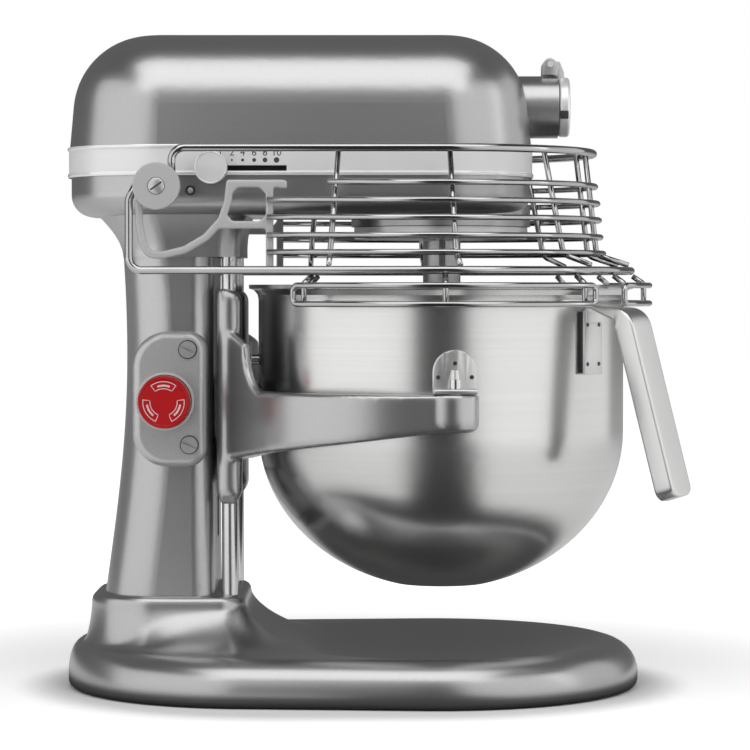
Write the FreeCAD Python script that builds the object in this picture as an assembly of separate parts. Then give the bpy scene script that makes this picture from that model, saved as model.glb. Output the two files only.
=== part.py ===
import FreeCAD, Part
import math
import os

from FreeCAD import Placement, Rotation, Vector

# Bowl-lift stand mixer, in millimetres. +X is the mixer's front, +Z is up, and the origin is on the
# worktop at the middle of the base. The speed control is on the -Y side, the lift lever on the +Y side.

# Base
BASE_FRONT_X = 54.0
BASE_FRONT_R = 131.0
BASE_REAR_X = -62.0
BASE_REAR_R = 122.8
BASE_BOTTOM_Z = 2.0
BASE_RIM_Z = 31.0
BASE_EDGE_R = 14.0
DISH_R = 108.0
DISH_FLOOR_Z = 19.0
BASE_WALL = 8.0
CAVITY_TOP_Z = 12.0
PEDESTAL_TOP_Z = 62.5
PEDESTAL_ROOF = 8.0
PEDESTAL_PIT = (-160, -84, 49, 34, 12)
WIRING_HOLE_X = -125.0
WIRING_HOLE_R = 12.0
FOOT_PLACES = [(0, 0), (120, 72), (120, -72), (-110, 72), (-110, -72)]
FOOT_R = 11.0
FOOT_HEIGHT = 3.0

# Column
COLUMN_TOP_Z = 277.0
COLUMN_WALL = 5.0
COLUMN_FLOOR = 8.0
COLUMN_BOLT_PLACES = [(-144, 31), (-144, -31), (-104, 31), (-104, -31)]
COLUMN_BOLT_R = 4.0
BOLT_HEAD_R = 6.5
BOLT_HEAD = 5.0
LIFT_SLOT_SIDES = (-5.5, 12.0)
GLAND_X = -122.0
GLAND_Z = 86.0
GLAND_R = 7.9
GLAND_FLANGE_R = 11.0
GLAND_BORE_R = 4.0
GLAND_FACE_Y = 57.0
GLAND_INNER_Y = 42.0

# Head
HEAD_REAR_X = -182.5
HEAD_FRONT_X = 115.0
HEAD_HALF_WIDTH = 67.0
HEAD_REAR_R = 60.0
HEAD_FRONT_R = 55.0
HEAD_BOTTOM_Z = 303.0
HEAD_BOTTOM_R = 14.0
TRIM_BOTTOM_Z = 328.0
TRIM_TOP_Z = 347.3
HEAD_TOP_Z = 419.7
HEAD_TOP_R = 50.0
HEAD_WALL = 4.0
TRAY_WALL = 5.0
TRAY_FLOOR_Z = HEAD_BOTTOM_Z + 9.0
NECK_ROOM = (-141, -78, 44, 24, 12)
NECK_ROOM_TOP_Z = 318.0
TOWER_R = 16.0
TOWER_BORE_R = 12.0
TOWER_TOP_Z = 345.0
TRIM_PROUD = 0.6
TRIM_WALL = 5.0

# Planetary drive, on the bowl's axis
AXIS_X = 57.0
FRONT_HOUSING_R = 58.0
FRONT_HOUSING_Z = 296.8
GEAR_RECESS_R = 50.0
GEAR_RECESS_TOP_Z = 306.0
CARRIER_R = 53.6
CARRIER_BOTTOM_Z = 290.5
CARRIER_TOP_Z = 296.4
CENTRE_SHAFT_R = 7.0
BEATER_OFFSET = 28.0
BEATER_SHAFT_R = 6.0
RING_TEETH = 42
PLANET_TEETH = 14
PLANET_MODULE = 2.0
PLANET_BOTTOM_Z = 298.8
PLANET_HEIGHT = 6.5
RING_GEAR_BOTTOM_Z = 298.5
CARRIER_COLLAR_R = 13.0
BEATER_SLEEVE_R = 12.0
DRIP_RING_BOTTOM_Z = 288.8
CENTRE_BUSH_HEIGHT = 12.0
CENTRE_BUSHES_Z = [GEAR_RECESS_TOP_Z, 333.0]
BEATER_SHAFT_BOTTOM_Z = 262.0
BEATER_SHAFT_TOP_Z = 305.3
DRIVE_PIN_R = 2.0
DRIVE_PIN_Z = 270.0
DRIVE_PIN_HALF = 13.0
BEATER_HALF = [(10, 248), (40, 238), (66, 205), (74, 165), (69, 128), (52, 100), (30, 83), (12, 76)]
BEATER_MIDDLE_Z = 160.0
BEATER_LOOP = 11.0
BEATER_LOOP_DEPTH = 12.0
BEATER_RIB = 8.0
BEATER_RIB_HALF = 66.0
BEATER_RIBS_Z = [130.0, 180.0]
BEATER_SOCKET_R = 12.0
BEATER_SOCKET_TOP_Z = 287.5
RUNNING_CLEARANCE = 0.05

# Motor and gear train
HUB_Z = 374.4
BEVEL_RATIO = 4.0
BEVEL_TEETH = 40
BEVEL_OUTER_R = 31.0
BEVEL_INNER_R = 23.0
SPUR_MODULE = 1.2
REDUCTION_TEETH = 30
MOTOR_PINION_TEETH = 10
MOTOR_Z = HUB_Z - SPUR_MODULE * (REDUCTION_TEETH + MOTOR_PINION_TEETH) / 2
MOTOR_SHAFT_R = 5.0
STATOR_R = 34.0
STATOR_REAR_X = -118.0
STATOR_FRONT_X = -58.0
STATOR_BORE_R = 21.0
ROTOR_R = 20.0
ROTOR_SLOTS = 12
COMMUTATOR_R = 12.0
COMMUTATOR_LENGTH = 14.0
FAN_R = 28.0
FAN_REAR_X = -128.0
FAN_BLADES = 9
LAYSHAFT_R = 5.0
REAR_PLATE_X = (-142.0, -134.0)
MIDDLE_PLATE_X = (-14.0, -8.0)
FRONT_PLATE_X = (17.0, 22.0)
REAR_BEARING_R = 13.0
FRONT_BEARING_R = 11.0
PINION_X = (3.0, 14.0)
REDUCTION_X = (4.0, 13.0)
BOARD_X = (-112.0, -30.0)
BOARD_Y = (-54.6, -53.0)
BOARD_TOP_Z = 366.0

# Accessory hub
HUB_R = 20.1
HUB_FACE_X = 132.6
HUB_BORE_R = 16.0
HUB_BORE_FLOOR_X = 100.0
HUB_INNER_X = 92.0
HUB_COVER_R = 19.2
HUB_COVER_FRONT_X = 140.0
HINGE_X = 127.4
HINGE_Z = 401.7
HINGE_PIN_R = 2.0
HINGE_LUG_R = 4.2
HINGE_LUG_HALF = 4.7
SPINDLE_R = 9.0
HUB_BUSH_R = 13.0
KNOB_X = 124.0
KNOB_R = 11.0
KNOB_Y = (25.0, 40.0)
KNOB_STEM_R = 4.0
KNOB_FLUTES = 8
KNOB_FLUTE_R = 2.5

# Speed control
SPEED_KNOB_X = -88.0
SPEED_KNOB_Z = 332.4
SPEED_KNOB_R = 10.2
SPEED_TRAVEL = 43.0
SPEED_SLOT_HEIGHT = 3.6
SPEED_KNOB_FACE_Y = -80.0
SPEED_KNOB_BACK_Y = -72.0
WIPER_Y = (-60.0, -58.0)

# Stop button
STOP_X = -117.2
STOP_Z = 186.3
STOP_FACE_Y = -68.0
STOP_CAP_R = 16.5
STOP_COLLAR_R = 18.2
STOP_STEM_R = 6.0
STOP_BOX_X = (-138.0, -91.6)
STOP_BOX_Z = (145.0, 230.0)
STOP_BOX_REAR_R = 22.0
STOP_BOX_FRONT_R = 12.0
STOP_BOX_EDGE_R = 5.0
STOP_BOX_BACK_Y = -40.0
STOP_FLANGE_Y = (-61.5, -59.0)
SCREW_HEAD_R = 5.3
SCREW_SHANK_R = 2.5
STOP_SCREWS = [(-103.1, 218.8), (-102.2, 159.0)]

# Bowl
BOWL_R = 118.3
BOWL_WALL = 1.2
BOWL_RIM_R = 124.5
BOWL_RIM_Z = 259.5
BOWL_SHOULDER_Z = 165.0
BOWL_BOTTOM_Z = 66.0
BOWL_FOOT_R = 30.0
RIM_PROFILE = [
    (BOWL_R - BOWL_WALL, 250), (BOWL_R, 250), (BOWL_R + 0.6, 253), (BOWL_R + 3, 256), (BOWL_RIM_R, 257),
    (BOWL_RIM_R, BOWL_RIM_Z), (BOWL_RIM_R - 3, BOWL_RIM_Z), (BOWL_R + 1, 257.5), (BOWL_R - BOWL_WALL, 254),
]
WELD_GAP = 0.02
EAR_X = 63.0
EAR_HALF_WIDTH = 13.7
EAR_CROWN_Z = 206.0
EAR_PLATE = 3.4
EAR_SHELF = 3.0
EAR_HOLE_R = 4.3
EAR_PIN_Y = 133.0
EAR_SHELF_Z = 193.2
HANDLE_ANGLE = -40.0
HANDLE_WIDTH = 22.0
HANDLE_DEPTH = 15.0
HANDLE_SHEET = 2.0
HANDLE_OUTER = [(119, 247.5), (142, 244), (156, 233), (193, 136), (191, 130), (187, 129)]
HANDLE_INNER = [(187 - HANDLE_DEPTH, 133), (144, 227), (136, 231.5), (119, 234)]
HANDLE_ROOM = [(118, 245), (141, 241.6), (153.8, 231.6), (189.5, 137), (150, 131), (118, 200)]
HANDLE_PLATE_HALF = 13.0
HANDLE_PLATE_Z = (207.0, 246.0)
HANDLE_PLATE = 2.8
LATCH_PIN_R = 3.5
LATCH_Z = 211.0
LATCH_STRIP_X = (-67.6, -66.2)
LATCH_STRIP_Z = (160.0, 222.0)
LATCH_HALF = 7.0

# Yoke and lift
RAIL_X = -78.0
RAIL_Y = 46.0
RAIL_R = 5.0
SLIDER_REAR_X = -86.0
SLIDER_FRONT_X = -70.0
SLIDER_BOTTOM_Z = 124.0
SLIDER_TOP_Z = 254.0
SLIDER_Y = (37.0, 55.0)
SLIDER_EDGE_R = 5.0
YOKE_PLATE_X = (-83.0, -75.0)
YOKE_PLATE_Z = (132.0, 200.0)
YOKE_PAD_HALF = 9.0
YOKE_PAD_Z = (160.0, 182.0)
YOKE_PIN_R = 4.0
YOKE_PIN_DEPTH = 8.0
YOKE_PIN_HEIGHT = 9.0
ARM_INNER_R = 126.0
ARM_OUTER_R = 140.0
ARM_TOP_Z = 193.0
ARM_ROOT_Z = 150.0
ARM_END_Z = 171.0
LIFT_TRAVEL = 42.0
LIFT_SHAFT_X = -125.0
LIFT_SHAFT_Z = 129.0
LIFT_SHAFT_R = 6.0
CRANK_R = LIFT_TRAVEL / math.sqrt(2)
CRANK_PIN_R = 4.0
CRANK_WEB_Y = (5.0, 10.0)
CRANK_WEB_HALF = 7.0
TONGUE_HALF = 10.5
LEVER_LENGTH = 50.0
LEVER_Y = 61.0
LEVER_PLATE = 7.0
LEVER_HALF_WIDTH = 7.0
LEVER_HUB_R = 13.0
LEVER_GRIP_R = 8.0
LEVER_GRIP = 32.0
LEVER_GRIP_EDGE_R = 5.0

# Wire guard
GUARD_PIVOT_X = -120.0
GUARD_PIVOT_Z = 320.0
GUARD_PLATE_Y = 95.2
GUARD_PLATE = 3.0
FRAME_SIDE_Y = 96.4
PIVOT_DISC_R = 9.5
GUARD_CAP_R = 14.6
GUARD_CAP = 5.5
CAP_SCREW_R = 5.0
CAP_SCREW_TURN = 35.0
PIVOT_GAP = 0.5
STUD_R = 8.0
STUD_TIP_R = 4.0
HOOP_OUTER_R = 45.0
HOOP_INNER_R = 40.5
BRACKET_REAR_X = -134.5
BRACKET_TOP_Z = 325.0
RING_BAR_X = (-54.5, -50.0)
RING_BAR_LOW_Z = 271.0
TOP_WIRE_REAR_X = -111.0
RIM_WIRE_REAR_X = -137.4
THIN_WIRE_R = 1.5
FRAME_WIRE_R = 2.0
TOP_RING = (98.5, 343.9)
MIDDLE_RINGS = [(100.0, 322.7), (101.5, 311.7), (102.5, 301.0), (103.5, 290.0), (105.3, 279.5)]
RIM_RING = (123.0, 268.3)
RING_END_X = -52.0
SHORT_RING_END_X = -14.6
RING_END_Y = GUARD_PLATE_Y + GUARD_PLATE + THIN_WIRE_R + 0.05
FRAME_BEND_R = 8.0
UPRIGHT_BEND_R = 6.0
SKIRT_BEND_R = 4.0
HANGER_BEND_R = 3.0
SKIRT_R = 135.0
SKIRT_TOP_Z = 259.0
SKIRT_BOTTOM_Z = 247.5
SKIRT_SPANS = [(-132.0, -48.0), (-31.5, 31.5), (48.0, 132.0)]
FRONT_UPRIGHTS = [-88.0, -48.5, -13.0, 18.0, 52.0]
SIDE_UPRIGHTS = [(-8.0, -1), (-24.0, 1), (43.0, 1)]

BOWL_AXIS = Vector(AXIS_X, 0, 0)
X_AXIS = Vector(1, 0, 0)
Y_AXIS = Vector(0, 1, 0)
Z_AXIS = Vector(0, 0, 1)


def box(x0, x1, y0, y1, z0, z1):
    """A box between two corners."""
    return Part.makeBox(x1 - x0, y1 - y0, z1 - z0, Vector(x0, y0, z0))


def rod_x(radius, x0, x1, y, z):
    """A round bar along X."""
    return Part.makeCylinder(radius, x1 - x0, Vector(x0, y, z), X_AXIS)


def rod_y(radius, y0, y1, x, z):
    """A round bar along Y."""
    return Part.makeCylinder(radius, y1 - y0, Vector(x, y0, z), Y_AXIS)


def rod_z(radius, z0, z1, x, y):
    """A round bar along Z."""
    return Part.makeCylinder(radius, z1 - z0, Vector(x, y, z0), Z_AXIS)


def polygon(points):
    """A closed wire through points."""
    return Part.makePolygon(list(points) + [points[0]])


def extruded(wire, direction):
    """A solid from a flat closed wire."""
    return Part.Face(wire).extrude(direction)


def turned(profile, centre=BOWL_AXIS):
    """A solid of revolution about a vertical axis, from (radius, height) points."""
    points = [Vector(centre.x + r, centre.y, z) for r, z in profile]
    return Part.Face(polygon(points)).revolve(centre, Z_AXIS, 360)


def mirrored(shape):
    """The same shape on the other side of the middle plane."""
    return shape.mirror(Vector(0, 0, 0), Y_AXIS)


def around_bowl(shape, degrees):
    """A shape turned about the bowl's axis."""
    copy = shape.copy()
    copy.rotate(BOWL_AXIS, Z_AXIS, degrees)
    return copy


def rounded_plan(x0, x1, half_width, rear_r, front_r, z):
    """A level outline of four sides and four round corners."""
    edges = []
    corners = [
        (x0 + rear_r, -half_width + rear_r, rear_r, 180),
        (x1 - front_r, -half_width + front_r, front_r, 270),
        (x1 - front_r, half_width - front_r, front_r, 0),
        (x0 + rear_r, half_width - rear_r, rear_r, 90),
    ]
    arcs = []
    for x, y, r, start in corners:
        angles = [math.radians(start + turn) for turn in (0, 45, 90)]
        arcs.append([Vector(x + r * math.cos(a), y + r * math.sin(a), z) for a in angles])
    for i, arc in enumerate(arcs):
        edges.append(Part.Arc(*arc).toShape())
        edges.append(Part.LineSegment(arc[2], arcs[(i + 1) % 4][0]).toShape())
    return Part.Wire(edges)


def plan_loft(sections, ruled=False):
    """A solid through rounded plans, each (x0, x1, half_width, rear_r, front_r, z)."""
    return Part.makeLoft([rounded_plan(*s) for s in sections], True, ruled)


def inset_plan(section, wall):
    """The same rounded plan, drawn in by a wall."""
    x0, x1, half_width, rear_r, front_r, z = section
    return (x0 + wall, x1 - wall, half_width - wall, rear_r - wall, front_r - wall, z)


def level_edges(shape, z):
    """The edges of a shape that lie at one height."""
    found = []
    for edge in shape.Edges:
        limits = edge.BoundBox
        if abs(limits.ZMin - z) < 0.01 and abs(limits.ZMax - z) < 0.01:
            found.append(edge)
    return found


def round_bar(edges, radius):
    """A round wire along joined edges."""
    path = Part.Wire(edges)
    first = path.OrderedEdges[0]
    start = path.OrderedVertexes[0].Point
    along = first.tangentAt(first.FirstParameter)
    if (first.valueAt(first.FirstParameter) - start).Length > 0.001:
        along = first.tangentAt(first.LastParameter)
    section = Part.Wire(Part.makeCircle(radius, start, along))
    return path.makePipeShell([section], True, False)


def rounded_path(points, bend_r):
    """Edges through points, with an arc at each inner point."""
    edges = []
    here = points[0]
    for before, corner, after in zip(points, points[1:], points[2:]):
        back = (before - corner).normalize()
        ahead = (after - corner).normalize()
        half = back.getAngle(ahead) / 2
        reach = bend_r / math.tan(half)
        middle = (back + ahead).normalize() * (bend_r / math.sin(half) - bend_r)
        edges.append(Part.LineSegment(here, corner + back * reach).toShape())
        edges.append(Part.Arc(corner + back * reach, corner + middle, corner + ahead * reach).toShape())
        here = corner + ahead * reach
    edges.append(Part.LineSegment(here, points[-1]).toShape())
    return edges


def gear_outline(teeth, pitch_r, outward=1, phase=0.0, thickness=0.36, addendum=0.6, dedendum=0.85):
    """Points of a gear with straight-flanked teeth. Outward is -1 for teeth that point inwards."""
    module = 2 * pitch_r / teeth
    flank = math.tan(math.radians(20))
    tip_r = pitch_r + outward * addendum * module
    root_r = pitch_r - outward * dedendum * module
    pitch_half = thickness * math.pi * module / 2
    tip_half = pitch_half - flank * addendum * module
    root_half = pitch_half + flank * dedendum * module
    points = []
    for i in range(teeth):
        angle = 2 * math.pi * (i + phase) / teeth
        for r, half in ((root_r, -root_half), (tip_r, -tip_half), (tip_r, tip_half), (root_r, root_half)):
            turn = angle + half / r
            points.append((r * math.cos(turn), r * math.sin(turn)))
    return points


def base_plan(inset, z):
    """The base's outline: two circles and the lines that touch both."""
    front_r = BASE_FRONT_R - inset
    rear_r = BASE_REAR_R - inset
    lean = -(front_r - rear_r) / (BASE_FRONT_X - BASE_REAR_X)
    side = math.sqrt(1 - lean * lean)
    front = [Vector(BASE_FRONT_X + front_r * lean, s * front_r * side, z) for s in (-1, 1)]
    rear = [Vector(BASE_REAR_X + rear_r * lean, s * rear_r * side, z) for s in (-1, 1)]
    nose = Vector(BASE_FRONT_X + front_r, 0, z)
    tail = Vector(BASE_REAR_X - rear_r, 0, z)
    edges = [
        Part.Arc(front[0], nose, front[1]).toShape(),
        Part.LineSegment(front[1], rear[1]).toShape(),
        Part.Arc(rear[1], tail, rear[0]).toShape(),
        Part.LineSegment(rear[0], front[0]).toShape(),
    ]
    return Part.Wire(edges)


DISH_PROFILE = [
    (0, DISH_FLOOR_Z), (DISH_R - 30, DISH_FLOOR_Z), (DISH_R - 12, DISH_FLOOR_Z + 4),
    (DISH_R, BASE_RIM_Z + 1), (0, BASE_RIM_Z + 1),
]
PEDESTAL_SECTIONS = [
    (-171.0, -18, 92, 66, 60, 16),
    (-171.0, -30, 82, 64, 50, 31),
    (-169.6, -48, 68, 50, 32, 42),
    (-168.4, -60, 61.5, 43, 22, 52),
    (-168.0, -68, 59, 40, 16, PEDESTAL_TOP_Z),
]


def base_casting():
    """Dished plate and flared pedestal, hollow below, with a boss for each foot."""
    plate = extruded(base_plan(0, BASE_BOTTOM_Z), Vector(0, 0, BASE_RIM_Z - BASE_BOTTOM_Z))
    plate = plate.makeFillet(BASE_EDGE_R, level_edges(plate, BASE_RIM_Z))
    dish_centre = Vector(BASE_FRONT_X, 0, 0)
    dish = turned(DISH_PROFILE, dish_centre)
    body = plate.cut(dish).fuse(plan_loft(PEDESTAL_SECTIONS))
    cavity = extruded(base_plan(BASE_WALL, 0), Vector(0, 0, CAVITY_TOP_Z))
    pit = plan_loft([PEDESTAL_PIT + (0,), PEDESTAL_PIT + (PEDESTAL_TOP_Z - PEDESTAL_ROOF,)], True)
    body = body.cut(cavity).cut(pit)
    for x, y in FOOT_PLACES:
        body = body.fuse(rod_z(FOOT_R + 1.5, FOOT_HEIGHT, CAVITY_TOP_Z + 3, x, y))
    for x, y in COLUMN_BOLT_PLACES:
        body = body.cut(rod_z(COLUMN_BOLT_R, PEDESTAL_TOP_Z - 20, PEDESTAL_TOP_Z + 1, x, y))
    wiring_hole = rod_z(WIRING_HOLE_R, PEDESTAL_TOP_Z - 20, PEDESTAL_TOP_Z + 1, WIRING_HOLE_X, 0)
    return body.cut(wiring_hole).removeSplitter()


def rubber_feet():
    """Five round feet, slightly wider at the top."""
    feet = [Part.makeCone(FOOT_R - 1, FOOT_R, FOOT_HEIGHT, Vector(x, y, 0)) for x, y in FOOT_PLACES]
    return Part.makeCompound(feet)


COLUMN_SECTIONS = [
    (-159.0, -87.5, 54, 34, 14, PEDESTAL_TOP_Z),
    (-152.5, -88.0, 53, 33, 14, 110),
    (-146.5, -88.0, 52, 32, 14, 170),
    (-145.0, -88.0, 51, 31, 14, 225),
    (-147.0, -87.5, 50, 30, 14, COLUMN_TOP_Z),
]


def column_form():
    """The column's outer form."""
    return plan_loft(COLUMN_SECTIONS)


def column_casting():
    """Tapered hollow column with a floor, a slot for the lift tongue and a bore for the lift shaft."""
    inner = plan_loft([inset_plan(s, COLUMN_WALL) for s in COLUMN_SECTIONS])
    floor = box(-200, 0, -100, 100, 0, PEDESTAL_TOP_Z + COLUMN_FLOOR)
    body = column_form().cut(inner.cut(floor))
    slot_low = LIFT_SHAFT_Z + CRANK_R / math.sqrt(2) - TONGUE_HALF - LIFT_TRAVEL - 1.5
    body = body.cut(box(-97, -80, *LIFT_SLOT_SIDES, slot_low, slot_low + LIFT_TRAVEL + 24))
    body = body.cut(rod_y(LIFT_SHAFT_R + RUNNING_CLEARANCE, 20, 80, LIFT_SHAFT_X, LIFT_SHAFT_Z))
    body = body.cut(rod_y(STOP_STEM_R + 2, -80, -20, STOP_X, STOP_Z))
    body = body.cut(gland_hole())
    body = body.cut(rod_z(WIRING_HOLE_R, 0, PEDESTAL_TOP_Z + COLUMN_FLOOR + 1, WIRING_HOLE_X, 0))
    for x, y in COLUMN_BOLT_PLACES:
        body = body.cut(rod_z(COLUMN_BOLT_R, 0, PEDESTAL_TOP_Z + COLUMN_FLOOR + 1, x, y))
    return body


def column_bolts():
    """Four bolts that hold the column down, heads below the pedestal's roof."""
    roof = PEDESTAL_TOP_Z - PEDESTAL_ROOF
    bolts = []
    for x, y in COLUMN_BOLT_PLACES:
        shank = rod_z(COLUMN_BOLT_R, roof, PEDESTAL_TOP_Z + COLUMN_FLOOR + 4, x, y)
        bolts.append(shank.fuse(rod_z(BOLT_HEAD_R, roof - BOLT_HEAD, roof, x, y)).removeSplitter())
    return Part.makeCompound(bolts)


def gland_hole():
    """The hole for the gland in the column's far side."""
    return rod_y(GLAND_R + RUNNING_CLEARANCE, GLAND_INNER_Y - 5, GLAND_FACE_Y + 5, GLAND_X, GLAND_Z)


def cord_gland():
    """The bush where the supply lead goes in, low on the column's far side."""
    flange = rod_y(GLAND_FLANGE_R, GLAND_FACE_Y - 6, GLAND_FACE_Y, GLAND_X, GLAND_Z)
    sleeve = rod_y(GLAND_R, GLAND_INNER_Y, GLAND_FACE_Y, GLAND_X, GLAND_Z)
    bore = rod_y(GLAND_BORE_R, GLAND_INNER_Y - 1, GLAND_FACE_Y + 1, GLAND_X, GLAND_Z)
    wall = column_form().cut(gland_hole())
    return flange.fuse(sleeve).cut(bore).cut(wall).removeSplitter()


NECK_SECTIONS = [
    (-147.0, -70, 53, 30, 16, COLUMN_TOP_Z),
    (-149.0, -70, 53, 31, 16, 285),
    (-158.0, -68, 55, 36, 18, 298),
    (-172.0, -62, 60, 50, 22, 312),
]


def lower_housing_form():
    """Outer form of the lower head: tray, flared neck and round front housing."""
    plan = (HEAD_REAR_X + 1, HEAD_FRONT_X - 1, HEAD_HALF_WIDTH - 0.5, HEAD_REAR_R - 1, HEAD_FRONT_R - 1)
    tray = plan_loft([plan + (HEAD_BOTTOM_Z,), plan + (TRIM_BOTTOM_Z,)], True)
    tray = tray.makeFillet(HEAD_BOTTOM_R, level_edges(tray, HEAD_BOTTOM_Z))
    neck = plan_loft(NECK_SECTIONS)
    nose = rod_z(FRONT_HOUSING_R, FRONT_HOUSING_Z, HEAD_BOTTOM_Z + 8, AXIS_X, 0)
    return tray.fuse([neck, nose])


def head_lower_housing():
    """Open tray that carries the motor and gears, with a tower for the centre shaft."""
    outer = (HEAD_REAR_X + 1, HEAD_FRONT_X - 1, HEAD_HALF_WIDTH - 0.5, HEAD_REAR_R - 1, HEAD_FRONT_R - 1)
    tray_room = plan_loft([inset_plan(outer + (TRAY_FLOOR_Z,), TRAY_WALL),
                           inset_plan(outer + (TRIM_BOTTOM_Z + 1,), TRAY_WALL)], True)
    neck_room = plan_loft([NECK_ROOM + (COLUMN_TOP_Z - 1,), NECK_ROOM + (NECK_ROOM_TOP_Z,)], True)
    gear_room = rod_z(GEAR_RECESS_R, FRONT_HOUSING_Z - 1, GEAR_RECESS_TOP_Z, AXIS_X, 0)
    body = lower_housing_form().cut(tray_room).cut(neck_room).cut(gear_room)
    body = body.fuse(rod_z(TOWER_R, GEAR_RECESS_TOP_Z + 1, TOWER_TOP_Z, AXIS_X, 0))
    bore = rod_z(TOWER_BORE_R, GEAR_RECESS_TOP_Z - 5, TOWER_TOP_Z + 5, AXIS_X, 0)
    return body.cut(bore).removeSplitter()


def trim_band():
    """Pale band round the head between its two castings, slotted for the speed lever."""
    plan = (HEAD_REAR_X - TRIM_PROUD, HEAD_FRONT_X + TRIM_PROUD, HEAD_HALF_WIDTH + TRIM_PROUD,
            HEAD_REAR_R, HEAD_FRONT_R)
    outer = plan_loft([plan + (TRIM_BOTTOM_Z,), plan + (TRIM_TOP_Z,)], True)
    inner = plan_loft([inset_plan(plan + (TRIM_BOTTOM_Z - 1,), TRIM_WALL),
                       inset_plan(plan + (TRIM_TOP_Z + 1,), TRIM_WALL)], True)
    slot_z = SPEED_KNOB_Z - SPEED_SLOT_HEIGHT / 2
    slot = box(SPEED_KNOB_X - 4, SPEED_KNOB_X + SPEED_TRAVEL + 4, -80, -55,
               slot_z, slot_z + SPEED_SLOT_HEIGHT)
    return outer.cut(inner).cut(slot)


def top_cover_form(inset):
    """Loaf-shaped form of the head's top."""
    plan = (HEAD_REAR_X, HEAD_FRONT_X, HEAD_HALF_WIDTH, HEAD_REAR_R, HEAD_FRONT_R, TRIM_TOP_Z)
    low = inset_plan(plan, inset)
    high = inset_plan((-176.0, 108.0, 62, 57, 54, HEAD_TOP_Z - inset), inset)
    form = plan_loft([low, high], True)
    return form.makeFillet(HEAD_TOP_R - inset, level_edges(form, HEAD_TOP_Z - inset))


def head_top_cover():
    """Top cover with the accessory hub's boss and hinge ears."""
    shell = top_cover_form(0).cut(top_cover_form(HEAD_WALL))
    boss = rod_x(HUB_R, HUB_INNER_X, HUB_FACE_X, 0, HUB_Z)
    ears = box(HINGE_X - 5.4, HUB_FACE_X, -9, 9, HUB_Z + 15, HINGE_Z + 3.5)
    gap = box(HINGE_X - 7, HUB_FACE_X + 1, -5, 5, HUB_Z + HUB_R + 0.2, HINGE_Z + 5)
    body = shell.fuse([boss, ears]).cut(gap)
    body = body.cut(rod_x(HUB_BORE_R, HUB_BORE_FLOOR_X, HUB_FACE_X + 1, 0, HUB_Z))
    body = body.cut(rod_x(HUB_BUSH_R, HUB_INNER_X - 1, HUB_BORE_FLOOR_X + 1, 0, HUB_Z))
    body = body.cut(rod_y(HINGE_PIN_R, -12, 12, HINGE_X, HINGE_Z))
    return body.cut(rod_y(KNOB_STEM_R + RUNNING_CLEARANCE, 10, 30, KNOB_X, HUB_Z)).removeSplitter()


def hub_cover():
    """Hinged disc that closes the accessory hub, with a lug round the hinge pin."""
    disc = rod_x(HUB_COVER_R, HUB_FACE_X + 0.3, HUB_COVER_FRONT_X, 0, HUB_Z)
    disc = disc.makeFillet(2.0, [disc.Edges[0], disc.Edges[2]])
    sides = (-HINGE_LUG_HALF, HINGE_LUG_HALF)
    lug = rod_y(HINGE_LUG_R, *sides, HINGE_X, HINGE_Z)
    strap = box(HUB_FACE_X + 0.3, HUB_FACE_X + 4, *sides, HUB_Z + 10, HINGE_Z + 2)
    web = box(HINGE_X, HUB_FACE_X + 1, *sides, HINGE_Z - 3, HINGE_Z + 2)
    hole = rod_y(HINGE_PIN_R + RUNNING_CLEARANCE, -6, 6, HINGE_X, HINGE_Z)
    return disc.fuse([lug, strap, web]).cut(hole).removeSplitter()


def hub_hinge_pin():
    """Pin of the hub cover."""
    return rod_y(HINGE_PIN_R, -10, 10, HINGE_X, HINGE_Z)


def hub_bush():
    """Bush for the hub spindle."""
    outer = rod_x(HUB_BUSH_R, HUB_INNER_X, HUB_BORE_FLOOR_X, 0, HUB_Z)
    return outer.cut(rod_x(SPINDLE_R + RUNNING_CLEARANCE, 80, 110, 0, HUB_Z))


def hub_spindle():
    """Accessory drive spindle with a square socket."""
    stub = rod_x(LAYSHAFT_R, AXIS_X + BEVEL_INNER_R - 1, HUB_INNER_X, 0, HUB_Z)
    socket = rod_x(SPINDLE_R, HUB_INNER_X - 1.5, HUB_BORE_FLOOR_X - 0.2, 0, HUB_Z)
    square = box(HUB_INNER_X, HUB_BORE_FLOOR_X, -4, 4, HUB_Z - 4, HUB_Z + 4)
    return stub.fuse(socket).cut(square).removeSplitter()


def attachment_knob():
    """Clamping knob of the accessory hub, on the far side, with flutes for grip."""
    stem = rod_y(KNOB_STEM_R, HUB_BORE_R + 0.3, KNOB_Y[0] + 1, KNOB_X, HUB_Z)
    grip = rod_y(KNOB_R, *KNOB_Y, KNOB_X, HUB_Z)
    grip = grip.makeFillet(2.5, [grip.Edges[0]])
    for i in range(KNOB_FLUTES):
        angle = 2 * math.pi * i / KNOB_FLUTES
        x = KNOB_X + (KNOB_R + 1) * math.cos(angle)
        z = HUB_Z + (KNOB_R + 1) * math.sin(angle)
        grip = grip.cut(rod_y(KNOB_FLUTE_R, KNOB_Y[0] - 5, KNOB_Y[1] + 5, x, z))
    return stem.fuse(grip).removeSplitter()


def bevel_pinion(side):
    """Small bevel gear on the hub axis. Side is -1 towards the motor and 1 towards the hub."""
    pitch_r = BEVEL_OUTER_R / BEVEL_RATIO
    teeth = int(BEVEL_TEETH / BEVEL_RATIO)
    outline = gear_outline(teeth, pitch_r, phase=0.5)
    wires = []
    for reach in (BEVEL_OUTER_R, BEVEL_INNER_R):
        scale = reach / BEVEL_OUTER_R
        wires.append(polygon([Vector(AXIS_X + side * reach, y * scale, HUB_Z + z * scale)
                              for z, y in outline]))
    gear = Part.makeLoft(wires, True, True)
    return gear.cut(rod_x(LAYSHAFT_R, 0, HEAD_FRONT_X, 0, HUB_Z))


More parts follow.
